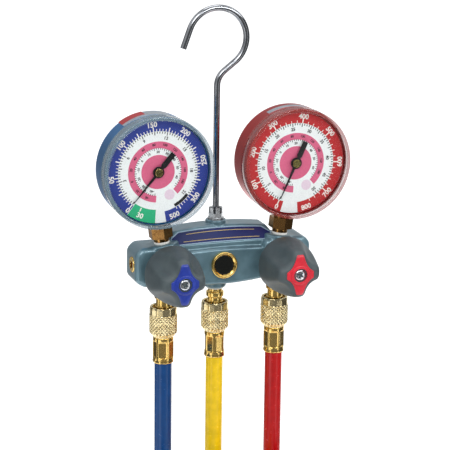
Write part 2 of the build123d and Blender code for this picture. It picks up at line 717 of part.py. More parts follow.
def make_gauge(name, side):
    """One gauge's case, dial, lens, pointer, arbor, sector and link."""
    face = gauge_face(side)
    pinion_r = TOOTH_MODULE * PINION_TEETH / 2
    sector_r = TOOTH_MODULE * SECTOR_TEETH / 2

    with BuildPart() as case:
        with BuildSketch(face.offset(CASE_BACK)):
            Circle(CASE_R)
        extrude(amount=CASE_STEP - CASE_BACK)
        fillet(case.faces().sort_by(Axis.Y)[-1].edges(), radius=2.5)
        with BuildSketch(face.offset(CASE_STEP)):
            Circle(CASE_NECK_R)
        extrude(amount=CASE_NECK_END - CASE_STEP)
        with BuildSketch(face.offset(CASE_BACK + CASE_WALL)):
            Circle(BORE_R)
        extrude(amount=40, mode=Mode.SUBTRACT)
        with BuildSketch(pad_plane(side).offset(STEM_HEX_TOP)):
            Circle(STEM_TOP_R + FIT)
        extrude(amount=10, mode=Mode.SUBTRACT)
    finish(case, f"gauge_case_{name}")

    with BuildPart() as dial:
        with BuildSketch(face.offset(DIAL_FRONT - DIAL_T)):
            Circle(DIAL_R)
            Circle(2.4, mode=Mode.SUBTRACT)
        extrude(amount=DIAL_T)
    finish(dial, f"dial_{name}")

    with BuildPart() as lens:
        with BuildSketch(face.offset(CASE_STEP + 0.3)):
            Circle(LENS_R)
        extrude(amount=LENS_FRONT - CASE_STEP - 0.3)
        fillet(lens.faces().sort_by(Axis.Y)[0].edges(), radius=2.0)
        with BuildSketch(face.offset(CASE_STEP)):
            Circle(CASE_NECK_R + 0.1)
        extrude(amount=CASE_NECK_END + 0.6 - CASE_STEP, mode=Mode.SUBTRACT)
        with BuildSketch(face.offset(CASE_STEP)):
            Circle(39.0)
        extrude(amount=LENS_FRONT - LENS_FACE_T - CASE_STEP, mode=Mode.SUBTRACT)
    finish(lens, f"lens_{name}")

    rest = -90 - ZERO_ANGLE[name] + side * GAUGE_LEAN  # the dial stands upright on its leaning stem
    needle = Plane(face.origin, x_dir=face.x_dir * cos(radians(rest)) + face.y_dir * sin(radians(rest)),
                   z_dir=face.z_dir)
    with BuildPart() as pointer:
        with BuildSketch(needle.offset(POINTER_FRONT - POINTER_T)):
            with BuildLine():
                Polyline((POINTER_TIP, 0.2), (0, 1.1), (-5, 1.5), (-6, 2.0), (-POINTER_TAIL, 2.0),
                         (-POINTER_TAIL, -2.0), (-6, -2.0), (-5, -1.5), (0, -1.1), (POINTER_TIP, -0.2),
                         close=True)
            make_face()
            Circle(4.3)
            Circle(1.5, mode=Mode.SUBTRACT)
        extrude(amount=POINTER_T)
    finish(pointer, f"pointer_{name}")

    with BuildPart() as arbor:
        with BuildSketch(face.offset(PLATE_BACK)):
            Circle(ARBOR_R)
        extrude(amount=POINTER_FRONT - PLATE_BACK)
        with BuildSketch(face.offset(PLATE_FRONT + PLATE_T + 0.2)):
            Circle(1.5)
        extrude(amount=POINTER_FRONT - PLATE_FRONT - PLATE_T - 0.2)
        with BuildSketch(face.offset(POINTER_FRONT)):
            Circle(HUB_R)
        extrude(amount=HUB_FRONT - POINTER_FRONT)
        fillet(arbor.faces().sort_by(Axis.Y)[0].edges(), radius=0.7)
        with BuildSketch(face.offset(PINION_BACK)):
            Circle(pinion_r - 1.15 * TOOTH_MODULE)
        extrude(amount=PINION_FRONT - PINION_BACK)
        teeth = tooth_ring(face.offset(PINION_BACK), pinion_r, PINION_TEETH, 0, PINION_TEETH - 1,
                           -90 + 180 / PINION_TEETH)
        extrude(teeth, amount=PINION_FRONT - PINION_BACK)
    finish(arbor, f"pointer_arbor_{name}")

    step = 360 / SECTOR_TEETH
    tail = Vector(*polar(TAIL_R, TAIL_ANGLE))
    swing = Plane(face.origin - face.y_dir * GEAR_CENTRES, x_dir=face.x_dir, z_dir=face.z_dir)
    with BuildPart() as sector:
        with BuildSketch(swing.offset(SECTOR_BACK)):
            rim = sector_r - 1.15 * TOOTH_MODULE
            with BuildLine():
                high, low = 90 + 3.6 * step, 90 - 9.6 * step
                CenterArc((0, 0), rim, low, high - low)
                Line(polar(rim, high), (0, 0))
                Line((0, 0), polar(rim, low))
            make_face()
            Circle(3.0)
            with BuildLine():
                Polyline((1.6, -2.4), (-1.6, 2.4), (tail.X - 0.6, tail.Y + 1.8),
                         (tail.X + 0.6, tail.Y - 1.8), close=True)
            make_face()
            with Locations((tail.X, tail.Y)):
                Circle(1.9)
            Circle(ARBOR_R, mode=Mode.SUBTRACT)
        extrude(amount=SECTOR_FRONT - SECTOR_BACK)
        extrude(tooth_ring(swing.offset(SECTOR_BACK), sector_r, SECTOR_TEETH, -9, 3, 90),
                amount=SECTOR_FRONT - SECTOR_BACK)
        with BuildSketch(swing.offset(PLATE_BACK)):
            Circle(ARBOR_R)
        extrude(amount=PLATE_FRONT + PLATE_T - PLATE_BACK)
        with BuildSketch(swing.offset(SECTOR_BACK)):
            with Locations((tail.X, tail.Y)):
                Circle(LINK_PIN_R)
        extrude(amount=3.2)
    finish(sector, f"sector_gear_{name}")

    tip = Vector(*polar(TUBE_R, TIP_ANGLE)) + Vector(0, GEAR_CENTRES)
    way = (tip - tail).normalized()
    half = Vector(-way.Y, way.X) * LINK_HALF
    corners = [tail + half, tip + half, tip - half, tail - half]
    with BuildPart() as link:
        with BuildSketch(swing.offset(SECTOR_FRONT + 0.3)):
            with BuildLine():
                Polyline([(p.X, p.Y) for p in corners], close=True)
            make_face()
            with Locations((tail.X, tail.Y), (tip.X, tip.Y)):
                Circle(LINK_EYE_R)
            with Locations((tail.X, tail.Y)):
                Circle(LINK_PIN_R + FIT, mode=Mode.SUBTRACT)
        extrude(amount=0.7)
    finish(link, f"gauge_link_{name}")


def make_gauge_fixed():
    """What both gauges hold fast: sockets, washers, Bourdon tubes, movement plates, gaskets, screws."""
    with BuildPart() as washers:
        for side in SIDES.values():
            with BuildSketch(pad_plane(side)):
                Circle(WASHER_R)
                Circle(STEM_THREAD_R + FIT, mode=Mode.SUBTRACT)
            extrude(amount=WASHER_T)
    finish(washers, "gauge_washers")

    with BuildPart() as sockets:
        for side in SIDES.values():
            pad = pad_plane(side)
            face = gauge_face(side)
            with BuildSketch(pad.offset(-STEM_THREAD)):
                Circle(STEM_THREAD_R)
            extrude(amount=STEM_THREAD + WASHER_T)
            with BuildSketch(pad.offset(WASHER_T)):
                Circle(WASHER_R - 0.1)
            extrude(amount=STEM_NECK)
            with BuildSketch(pad.offset(WASHER_T + STEM_NECK)):
                RegularPolygon(radius=STEM_HEX_FLATS / 2, side_count=6, major_radius=False, rotation=30)
            extrude(amount=STEM_HEX_TOP - WASHER_T - STEM_NECK)
            with BuildSketch(pad.offset(STEM_HEX_TOP)):
                Circle(STEM_TOP_R)
            extrude(amount=10)
            with BuildSketch(face.offset(TUBE_BACK)):
                with Locations((0, -SOCKET_BLOCK_LOW)):
                    Rectangle(*SOCKET_BLOCK)
            extrude(amount=PLATE_BACK - TUBE_BACK)
    finish(sockets, "gauge_sockets")

    with BuildPart() as tubes:
        for side in SIDES.values():
            face = gauge_face(side)
            with BuildSketch(face.offset(TUBE_BACK)):
                with BuildLine():
                    outer = CenterArc((0, 0), TUBE_R + TUBE_HALF, TUBE_START, TIP_ANGLE - TUBE_START)
                    inner = CenterArc((0, 0), TUBE_R - TUBE_HALF, TUBE_START, TIP_ANGLE - TUBE_START)
                    Line(outer @ 0, inner @ 0)
                    Line(outer @ 1, inner @ 1)
                make_face()
            extrude(amount=10)
            with BuildSketch(face.offset(-4.0)):
                with Locations(polar(TUBE_R, TIP_ANGLE + 2)):
                    Circle(2.6)
            extrude(amount=8.0)
    finish(tubes, "bourdon_tubes")

    with BuildPart() as frames:
        for side in SIDES.values():
            face = gauge_face(side)
            for depth in (PLATE_BACK, PLATE_FRONT):
                with BuildSketch(face.offset(depth)):
                    with Locations((0, -9.0)):
                        RectangleRounded(22, 34, 4)
                    with Locations((0, 0), (0, -GEAR_CENTRES)):
                        Circle(ARBOR_R + FIT, mode=Mode.SUBTRACT)
                extrude(amount=PLATE_T)
            with BuildSketch(face.offset(PLATE_BACK + PLATE_T)):
                with Locations((-8.4, 4.4), (8.4, 4.4), (9.3, -23.5)):
                    Circle(1.4)
            extrude(amount=PLATE_FRONT - PLATE_BACK - PLATE_T)
    finish(frames, "movement_frames")

    with BuildPart() as gaskets:
        for side in SIDES.values():
            with BuildSketch(gauge_face(side).offset(CASE_NECK_END)):
                Circle(CASE_NECK_R - 0.05)
                Circle(BORE_R + 0.6, mode=Mode.SUBTRACT)
            extrude(amount=0.6)
    finish(gaskets, "lens_gaskets")

    with BuildPart() as screws:
        for side in SIDES.values():
            face = gauge_face(side)
            with BuildSketch(face.offset(PLATE_FRONT + PLATE_T)):
                with Locations((-8.4, 4.4), (8.4, 4.4)):
                    Circle(1.0)
            extrude(amount=DIAL_FRONT - DIAL_T - PLATE_FRONT - PLATE_T)
    finish(screws, "dial_standoffs")


# ---------------------------------------------------------------- hose fittings, nuts and hoses
def nut_block(axis_plane):
    """A coupling nut from its mouth, local z running down from it: rim, smooth band, grip, round foot."""
    with BuildPart() as nut:
        with BuildSketch(axis_plane):
            Circle(NUT_R - 0.9)
        extrude(amount=NUT_RIM, taper=-25)
        with BuildSketch(axis_plane.offset(NUT_RIM)):
            Circle(NUT_BAND_R)
        extrude(amount=NUT_BAND_END - NUT_RIM)
        with BuildSketch(axis_plane.offset(NUT_BAND_END)):
            Circle(NUT_R)
        extrude(amount=NUT_LENGTH - NUT_BAND_END)
        foot = nut.faces().filter_by(Axis.Z).sort_by(Axis(axis_plane.origin, axis_plane.z_dir))[-1]
        fillet(foot.edges(), radius=NUT_FOOT_ROUND)
        for depth, radius in ((NUT_LENGTH, NUT_WAIST_R), (NUT_SEAT, NUT_SEAT_R),
                              (NIPPLE_HEAD, NUT_BORE_R), (NUT_MOUTH, NUT_MOUTH_R)):
            with BuildSketch(axis_plane):
                Circle(radius)
            extrude(amount=depth, mode=Mode.SUBTRACT)
        with BuildSketch(axis_plane.offset(NUT_LENGTH - NUT_FOOT_RECESS)):
            Circle(NUT_FOOT_RECESS_R)
        extrude(amount=NUT_FOOT_RECESS + 1, mode=Mode.SUBTRACT)
    return nut


def nipple_block(axis_plane):
    """A hose nipple: its head sits in the nut, its shank runs through the waist into the hose."""
    ferrule_in = NUT_LENGTH + FERRULE_CAP
    spans = ((NIPPLE_HEAD, NIPPLE_HEAD_R, NIPPLE_SHANK), (NIPPLE_SHANK, NIPPLE_R, ferrule_in),
             (ferrule_in, BARB_R, NUT_LENGTH + FERRULE_LENGTH - 2.4))
    with BuildPart() as nipple:
        for first, radius, last in spans:
            with BuildSketch(axis_plane.offset(first)):
                Circle(radius)
                Circle(1.8, mode=Mode.SUBTRACT)
            extrude(amount=last - first)
    return nipple.part


def ferrule_block(axis_plane, turn):
    """A crimped ferrule under a nut: a closed top, a sleeve with six pressed flats and a flared lip."""
    sleeve = FERRULE_LENGTH - FERRULE_CAP - FERRULE_LIP
    spans = ((FERRULE_GAP, FERRULE_R, NIPPLE_R, FERRULE_CAP - FERRULE_GAP),
             (FERRULE_CAP, FERRULE_R, HOSE_R, sleeve),
             (FERRULE_LENGTH - FERRULE_LIP, FERRULE_LIP_R, HOSE_R, FERRULE_LIP))
    with BuildPart() as ferrule:
        for depth, outer, inner, length in spans:
            with BuildSketch(axis_plane.offset(NUT_LENGTH + depth)):
                Circle(outer)
                Circle(inner, mode=Mode.SUBTRACT)
            extrude(amount=length)
        for k in range(6):
            angle = radians(60 * k + turn)
            out = axis_plane.x_dir * cos(angle) + axis_plane.y_dir * sin(angle)
            middle = axis_plane.origin + axis_plane.z_dir * (NUT_LENGTH + FERRULE_LENGTH / 2 - 0.8)
            with BuildSketch(Plane(middle + out * FERRULE_FLAT_R, x_dir=axis_plane.z_dir, z_dir=out)):
                RectangleRounded(*FERRULE_FLAT, 1.2)
            extrude(amount=2, mode=Mode.SUBTRACT)
    return ferrule.part


def down(x, y, height):
    """A plane across a hose's axis at a height, its local z pointing down."""
    return Plane((x, y, Z0 + height), x_dir=(1, 0, 0), z_dir=(0, 0, -1))


def up(x, y, height):
    """A plane across a hose's axis at a height, its local z pointing up."""
    return Plane((x, y, Z0 + height), x_dir=(1, 0, 0), z_dir=(0, 0, 1))


def hank_lengths(nut_top):
    """The hank's straight run and its heights, from the hose's length."""
    exit_h = nut_top - NUT_LENGTH - FERRULE_LENGTH
    first = exit_h - HANK_TOP_H
    tail = FOLD_R + HOSE_R
    run = (HOSE_LENGTH - first - 4 * pi * FOLD_R - tail) / 5
    return run, HANK_TOP_H - run, HANK_TOP_H - run - tail


def make_ports():
    """The three flare fittings and the pale seals on them."""
    with BuildPart() as fittings:
        for x, y, nut_top, _ in HOSES.values():
            boss = boss_height(x)
            bead = boss - PORT_SEAL_T - 2.2
            spans = ((boss + PORT_THREAD_DEPTH, PORT_THREAD_R - THREAD_GAP, boss - PORT_SEAL_T),
                     (boss - PORT_SEAL_T, FITTING_NECK_R, nut_top - 0.6),
                     (bead, FITTING_BEAD_R, bead - FITTING_BEAD),
                     (nut_top - 0.6, FITTING_TIP_R, nut_top - FITTING_TIP))
            for first, radius, last in spans:
                with BuildSketch(level(x, y, first)):
                    Circle(radius)
                extrude(amount=last - first)
            with BuildSketch(level(x, y, boss + PORT_THREAD_DEPTH + 1)):
                Circle(PASSAGE_R)
            extrude(amount=-50, mode=Mode.SUBTRACT)
    finish(fittings, "flare_fittings")

    with BuildPart() as seals:
        for x, y, _, _ in HOSES.values():
            with BuildSketch(level(x, y, boss_height(x))):
                Circle(PORT_SEAL_R)
                Circle(PORT_THREAD_R, mode=Mode.SUBTRACT)
            extrude(amount=-PORT_SEAL_T)
    finish(seals, "port_seals")


def make_hoses():
    """Coupling nuts, nipples, ferrules, hose runs, hanks and ties, and the fittings at the far ends."""
    for name, (x, y, nut_top, drift) in HOSES.items():
        finish(nut_block(down(x, y, nut_top)), f"coupling_nut_{name}")
        run, fold_h, foot_h = hank_lengths(nut_top)
        end_x = x + drift * 2 * LAYER
        end_mouth = foot_h - FERRULE_LENGTH - NUT_LENGTH
        finish(nut_block(up(end_x, y, end_mouth)), f"end_nut_{name}")
        with BuildPart() as hose:
            with BuildSketch(down(x, y, nut_top - NUT_LENGTH - FERRULE_CAP)):
                Circle(HOSE_R)
                Circle(BARB_R, mode=Mode.SUBTRACT)
            extrude(amount=nut_top - NUT_LENGTH - FERRULE_CAP - HANK_TOP_H)
        finish(hose, f"hose_{name}")
        with BuildPart() as hank:
            low_x = min(x - HOSE_R, end_x - HOSE_R)
            wide = 2 * LAYER + 2 * HOSE_R
            with BuildSketch(across(low_x, y - FOLD_R, (HANK_TOP_H + fold_h) / 2)):
                SlotCenterToCenter(run, 2 * (FOLD_R + HOSE_R), rotation=90)
                SlotCenterToCenter(run, 2 * (FOLD_R - HOSE_R), rotation=90, mode=Mode.SUBTRACT)
            extrude(amount=wide)
            with BuildSketch(down(end_x, y, fold_h + 10)):
                Circle(HOSE_R - 0.1)
            extrude(amount=10 + FOLD_R + HOSE_R)
        finish(hank, f"hose_hank_{name}")
        straight = nut_top - NUT_LENGTH - FERRULE_LENGTH - HANK_TOP_H
        length = straight + 5 * run + 4 * pi * FOLD_R + FOLD_R + HOSE_R
        print(f"hose_{name}: {straight:.1f} mm straight, no arcs; hank folds of radius {FOLD_R:.1f} mm "
              f"({FOLD_R / HOSE_R / 2:.2f} diameters), runs of {run:.1f} mm, {length:.0f} mm in all")

    with BuildPart() as nipples:
        for x, y, nut_top, _ in HOSES.values():
            add(nipple_block(down(x, y, nut_top)))
    finish(nipples, "hose_nipples")
    with BuildPart() as ferrules:
        for name, (x, y, nut_top, _) in HOSES.items():
            add(ferrule_block(down(x, y, nut_top), CRIMP_TURN[name]))
    finish(ferrules, "hose_ferrules")
    with BuildPart() as end_nipples:
        for x, y, nut_top, drift in HOSES.values():
            foot_h = hank_lengths(nut_top)[2]
            add(nipple_block(up(x + drift * 2 * LAYER, y, foot_h - FERRULE_LENGTH - NUT_LENGTH)))
    finish(end_nipples, "end_nipples")
    with BuildPart() as end_ferrules:
        for x, y, nut_top, drift in HOSES.values():
            foot_h = hank_lengths(nut_top)[2]
            add(ferrule_block(up(x + drift * 2 * LAYER, y, foot_h - FERRULE_LENGTH - NUT_LENGTH), 0))
    finish(end_ferrules, "end_ferrules")

    with BuildPart() as ties:
        for x, y, nut_top, drift in HOSES.values():
            fold_h = hank_lengths(nut_top)[1]
            low = (HANK_TOP_H + fold_h - TIE_WIDE) / 2
            wide, deep = 2 * (LAYER + HOSE_R), 2 * (FOLD_R + HOSE_R)
            with BuildSketch(level(x + drift * LAYER, y - FOLD_R, low)):
                RectangleRounded(wide + 2 * TIE_T, deep + 2 * TIE_T, 1.3)
                Rectangle(wide, deep, mode=Mode.SUBTRACT)
            extrude(amount=TIE_WIDE)
    finish(ties, "hose_ties")


def main():
    """Build every sub-part and write its STEP file."""
    os.makedirs("parts", exist_ok=True)
    make_body()
    make_body_trim()
    make_hook()
    make_bonnets()
    make_gauge_fixed()
    make_ports()
    make_hoses()
    for name, side in SIDES.items():
        make_piston(name, side * VALVE_X)
        make_stem(name, side * VALVE_X)
        make_knob(name, side * VALVE_X)
        make_gauge(name, side)


main()
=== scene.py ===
"""Dresses a two-valve refrigerant manifold: painted casting, dial gauges, knobs, brass fittings, hoses.

Lengths inside the classes are millimetres in the part's frame: X right, Y back, Z up, with the origin at
the seat of the hook. A mesh is turned into metres when its piece is made.
"""
import logging
from dataclasses import dataclass, field
from enum import Enum
from math import cos, pi, radians, sin, sqrt, tan
from typing import Callable, Iterable, Sequence

import bmesh
import bpy
import numpy as np
from mathutils import Matrix, Vector


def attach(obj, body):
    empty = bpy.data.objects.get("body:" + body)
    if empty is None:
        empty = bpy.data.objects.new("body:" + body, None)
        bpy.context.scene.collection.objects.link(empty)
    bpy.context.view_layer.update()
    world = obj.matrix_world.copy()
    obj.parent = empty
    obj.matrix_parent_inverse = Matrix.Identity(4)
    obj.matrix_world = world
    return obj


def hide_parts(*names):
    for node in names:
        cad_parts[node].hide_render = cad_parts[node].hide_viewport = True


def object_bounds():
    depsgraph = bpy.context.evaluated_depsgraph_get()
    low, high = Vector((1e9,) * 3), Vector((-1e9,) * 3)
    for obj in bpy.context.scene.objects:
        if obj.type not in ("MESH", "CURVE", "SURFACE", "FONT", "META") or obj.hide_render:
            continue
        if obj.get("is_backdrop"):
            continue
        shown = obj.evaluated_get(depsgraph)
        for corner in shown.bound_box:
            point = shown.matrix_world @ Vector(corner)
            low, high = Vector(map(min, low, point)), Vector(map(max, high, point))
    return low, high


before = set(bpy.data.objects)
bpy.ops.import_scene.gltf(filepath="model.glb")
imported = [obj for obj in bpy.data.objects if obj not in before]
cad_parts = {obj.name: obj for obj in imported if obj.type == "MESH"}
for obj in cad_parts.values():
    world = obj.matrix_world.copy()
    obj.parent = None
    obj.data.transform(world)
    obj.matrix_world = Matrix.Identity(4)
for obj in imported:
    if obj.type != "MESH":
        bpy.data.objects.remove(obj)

LOG = logging.getLogger("manifold")
MM = 0.001
VALVE_LEVEL = -187.9  # height of the valve axis under the hook's seat
CREASE = radians(35)  # an edge that turns by more than this is drawn sharp

Profile = list[tuple[float, float]]
Ring = list[Vector]


class Side(Enum):
    """The two halves of the manifold, with the sign of their X."""

    LEFT = -1
    RIGHT = 1

    @property
    def word(self) -> str:
        """The side's name as it stands in the names of nodes and bodies."""
        return self.name.lower()


# ------------------------------------------------------------------------------------------ shader maths
class Value:
    """One number socket of a shader, with arithmetic written as Python."""

    def __init__(self, graph: "Graph", socket: bpy.types.NodeSocket) -> None:
        """Keeps the graph and the socket.

        Args:
            graph: the node graph that new Math nodes go into.
            socket: the output that holds the number.
        """
        self.graph = graph
        self.socket = socket

    def math(self, operation: str, *others: "Value | float") -> "Value":
        """Adds a Math node to this value.

        Args:
            operation: the Math node's operation.
            others: its second and third inputs.

        Returns:
            The node's output.
        """
        sockets = {0: self} | {k + 1: other for k, other in enumerate(others)}
        return Value(self.graph, self.graph.node("ShaderNodeMath", {"operation": operation}, sockets).outputs[0])

    def __add__(self, other: "Value | float") -> "Value":
        """The sum."""
        return self.math("ADD", other)

    def __sub__(self, other: "Value | float") -> "Value":
        """The difference."""
        return self.math("SUBTRACT", other)

    def __mul__(self, other: "Value | float") -> "Value":
        """The product."""
        return self.math("MULTIPLY", other)

    def __truediv__(self, other: "Value | float") -> "Value":
        """The quotient."""
        return self.math("DIVIDE", other)

    def __rsub__(self, other: float) -> "Value":
        """A number less this value."""
        return (self * -1.0) + other

    __radd__ = __add__
    __rmul__ = __mul__


class Graph:
    """The node tree of one material, or of the world."""

    def __init__(self, name: str, world: bool = False) -> None:
        """Starts an empty node tree.

        Args:
            name: the material's or the world's name.
            world: whether the tree belongs to a world.
        """
        self.owner = (bpy.data.worlds if world else bpy.data.materials).new(name)
        self.owner.use_nodes = True
        self.tree = self.owner.node_tree
        self.tree.nodes.clear()
        self.output = self.tree.nodes.new(f"ShaderNodeOutput{'World' if world else 'Material'}")
        self.place = self.node("ShaderNodeTexCoord").outputs["Generated" if world else "Object"]

    def node(self, kind: str, settings: dict | None = None, sockets: dict | None = None) -> bpy.types.Node:
        """Adds a node.

        Args:
            kind: the node's type.
            settings: its properties, and "stops" for a ramp.
            sockets: values or links of its inputs, by name or number.

        Returns:
            The node.
        """
        node = self.tree.nodes.new(kind)
        for key, value in (settings or {}).items():
            if key == "stops":
                ramp = node.color_ramp.elements
                while len(ramp) < len(value):
                    ramp.new(0.5)
                for element, (position, colour) in zip(ramp, value):
                    element.position = position
                    element.color = colour
            else:
                setattr(node, key, value)
        for key, value in (sockets or {}).items():
            value = value.socket if isinstance(value, Value) else value
            if isinstance(value, bpy.types.NodeSocket):
                self.tree.links.new(value, node.inputs[key])
            else:
                node.inputs[key].default_value = value
        return node

    def smooth(self, value: Value, low: float, high: float) -> Value:
        """A soft step of a value from low to high."""
        settings = {"interpolation_type": "SMOOTHSTEP"}
        node = self.node("ShaderNodeMapRange", settings, {0: value, 1: low, 2: high})
        return Value(self, node.outputs[0])

    def noise(self, size: float, detail: float = 3.0, roughness: float = 0.5) -> Value:
        """Cloudy noise with features of a given size in millimetres, around one half."""
        sockets = {"Vector": self.place, "Scale": 1 / (size * MM), "Detail": detail, "Roughness": roughness}
        return Value(self, self.node("ShaderNodeTexNoise", None, sockets).outputs[0])

    def cells(self, size: float) -> Value:
        """Distance to the nearest of scattered points, for grain of a given size in millimetres."""
        node = self.node("ShaderNodeTexVoronoi", None, {"Vector": self.place, "Scale": 1 / (size * MM)})
        return Value(self, node.outputs["Distance"])

    def axes(self, origin: Sequence[float] = (0, 0, 0)) -> list[Value]:
        """The three coordinates in millimetres from a point of the part.

        Args:
            origin: the point, in millimetres.

        Returns:
            X, Y and Z.
        """
        at = [-o * MM for o in origin]
        moved = self.node("ShaderNodeVectorMath", {"operation": "ADD"}, {0: self.place, 1: at})
        split = self.node("ShaderNodeSeparateXYZ", None, {0: moved.outputs[0]})
        return [Value(self, socket) * (1 / MM) for socket in split.outputs]

    def radius(self, origin: Sequence[float]) -> Value:
        """The distance in millimetres from an axis through a point, along Y."""
        x, _, z = self.axes(origin)
        return (x * x + z * z).math("SQRT")

    def mix(self, share: Value, first: Sequence[float], second: Sequence[float]) -> bpy.types.NodeSocket:
        """A colour that goes from first to second with a share."""
        settings = {"data_type": "RGBA"}
        return self.node("ShaderNodeMix", settings, {0: share, 6: first, 7: second}).outputs[2]

    def bump(self, height: Value, depth: float) -> bpy.types.NodeSocket:
        """A normal from a height, with its depth in millimetres."""
        sockets = {"Height": height, "Distance": depth * MM, "Strength": 1.0}
        return self.node("ShaderNodeBump", None, sockets).outputs[0]

    def close(self, shader: bpy.types.Node) -> bpy.types.ID:
        """Links a shader to the output and gives the finished material or world."""
        self.tree.links.new(shader.outputs[0], self.output.inputs[0])
        return self.owner

    def principled(self, **sockets: object) -> bpy.types.Material:
        """Closes the material with one principled shader.

        Args:
            sockets: its inputs, with spaces written as underscores.

        Returns:
            The material.
        """
        named = {key.replace("_", " "): value for key, value in sockets.items()}
        return self.close(self.node("ShaderNodeBsdfPrincipled", None, named))


def colour(red: float, green: float, blue: float) -> tuple[float, float, float, float]:
    """A scene colour from screen values of 0 to 255."""
    def linear(value: float) -> float:
        """One channel, from its screen value."""
        share = value / 255
        return share / 12.92 if share <= 0.04045 else ((share + 0.055) / 1.055) ** 2.4
    return (linear(red), linear(green), linear(blue), 1.0)


# ---------------------------------------------------------------------------------------------- finishes
@dataclass(frozen=True)
class CastPaint:
    """Satin paint over a casting: a slightly uneven skin, darker where dirt stays."""

    tint: tuple = colour(100, 131, 142)
    shade: tuple = colour(84, 113, 124)

    def material(self) -> bpy.types.Material:
        """Builds the material."""
        graph = Graph("cast_paint")
        clouds = graph.noise(14, 4)
        skin = graph.noise(0.9, 2) * 0.6 + graph.noise(3.2, 2)
        return graph.principled(Base_Color=graph.mix(graph.smooth(clouds, 0.35, 0.68), self.shade, self.tint),
                                Roughness=0.29 + clouds * 0.12, Metallic=0.35, IOR=1.45,
                                Coat_Weight=0.6, Coat_Roughness=0.09,
                                Normal=graph.bump(skin, 0.035))


@dataclass(frozen=True)
class Plastic:
    """Moulded plastic with a fine eroded grain."""

    name: str
    tint: tuple
    shade: tuple
    roughness: float = 0.5
    grain: float = 0.02

    def material(self) -> bpy.types.Material:
        """Builds the material."""
        graph = Graph(self.name)
        clouds = graph.noise(9, 4)
        grain = graph.cells(0.45) + graph.noise(0.25, 2)
        return graph.principled(Base_Color=graph.mix(graph.smooth(clouds, 0.3, 0.7), self.shade, self.tint),
                                Roughness=self.roughness - 0.05 + clouds * 0.1, IOR=1.48,
                                Normal=graph.bump(grain, self.grain))


@dataclass(frozen=True)
class Metal:
    """Bare or plated metal with faint tool marks and a little tarnish."""

    name: str
    bright: tuple
    dull: tuple
    roughness: float = 0.2
    marks: float = 0.006

    def material(self) -> bpy.types.Material:
        """Builds the material."""
        graph = Graph(self.name)
        tarnish = graph.smooth(graph.noise(5, 5, 0.6), 0.42, 0.72)
        _, _, z = graph.axes()
        turning = (z * 38.0 + graph.noise(2, 2) * 5.0).math("SINE")
        return graph.principled(Base_Color=graph.mix(tarnish, self.bright, self.dull), Metallic=1.0,
                                Roughness=self.roughness + tarnish * 0.12,
                                Normal=graph.bump(turning + graph.noise(0.4, 3), self.marks))


@dataclass(frozen=True)
class CasePaint:
    """Metallic lacquer on a pressed steel gauge case."""

    name: str
    tint: tuple
    flake: tuple

    def material(self) -> bpy.types.Material:
        """Builds the material."""
        graph = Graph(self.name)
        flakes = graph.smooth(graph.noise(0.35, 2), 0.42, 0.68)
        return graph.principled(Base_Color=graph.mix(flakes * 0.22, self.tint, self.flake), Metallic=0.85,
                                Roughness=0.26 + graph.noise(7, 3) * 0.08, Coat_Weight=0.1,
                                Coat_Roughness=0.08, Normal=graph.bump(graph.noise(1.6, 2), 0.003))


@dataclass(frozen=True)
class ClearLens:
    """A clear moulded lens: see-through over the dial, thick and shiny round its rim, where its colour is
    painted light: the case seen through the rim and the rim's reflections.
    """

    name: str
    centre: tuple
    face_alpha: float = 0.035
    rim_alpha: float = 0.5
    rim_start: float = 38.3
    face_tint: tuple = colour(30, 34, 38)
    # painted light: the rim's colour stands in for the case seen through the thick rim and for its pale
    # reflections
    rim_tint: tuple = colour(128, 148, 160)

    def material(self) -> bpy.types.Material:
        """Builds the material."""
        graph = Graph(self.name)
        rim = graph.smooth(graph.radius(self.centre), self.rim_start, self.rim_start + 1.2)
        # the rim's base colour is painted light, not the lens's own colour
        return graph.principled(Base_Color=graph.mix(rim, self.face_tint, self.rim_tint),
                                Roughness=0.06 + graph.noise(11, 3) * 0.03,
                                IOR=1.5, Coat_Weight=1.0, Coat_Roughness=0.03,
                                Alpha=rim * (self.rim_alpha - self.face_alpha) + self.face_alpha)


@dataclass(frozen=True)
class Print:
    """Ink or card with a faint unevenness."""

    name: str
    tint: tuple
    roughness: float = 0.45

    def material(self) -> bpy.types.Material:
        """Builds the material."""
        graph = Graph(self.name)
        soft = tuple(channel * 0.93 for channel in self.tint[:3]) + (1.0,)
        fibres = graph.smooth(graph.noise(1.1, 4), 0.3, 0.7)
        return graph.principled(Base_Color=graph.mix(fibres, soft, self.tint), Roughness=self.roughness,
                                Normal=graph.bump(graph.noise(0.3, 2), 0.003))


@dataclass(frozen=True)
class HoseRubber:
    """The smooth outer cover of a charging hose, faintly ribbed by the braid under it."""

    name: str
    tint: tuple

    def material(self) -> bpy.types.Material:
        """Builds the material."""
        graph = Graph(self.name)
        x, y, z = graph.axes()
        turn = (x + y) * 1.1
        braid = (turn + z * 1.4).math("SINE") * (turn - z * 1.4).math("SINE")
        deep = tuple(channel * 0.84 for channel in self.tint[:3]) + (1.0,)
        return graph.principled(Base_Color=graph.mix(graph.smooth(graph.noise(6, 4), 0.3, 0.7), deep, self.tint),
                                Roughness=0.22 + graph.noise(3, 3) * 0.08, IOR=1.45,
                                Normal=graph.bump(braid * 0.5 + graph.noise(0.7, 2), 0.02))


@dataclass(frozen=True)
class SightGlass:
    """Thick glass, drawn opaque: its dark base colour is painted shade, standing in for the unlit chamber behind
    it.
    """

    def material(self) -> bpy.types.Material:
        """Builds the material."""
        graph = Graph("sight_glass_clear")
        # painted shade: the dark base colour stands in for the unlit chamber seen through the glass
        return graph.principled(Base_Color=colour(16, 17, 14), Roughness=0.04 + graph.noise(3, 3) * 0.05,
                                IOR=1.45, Normal=graph.bump(graph.noise(4, 2), 0.01))


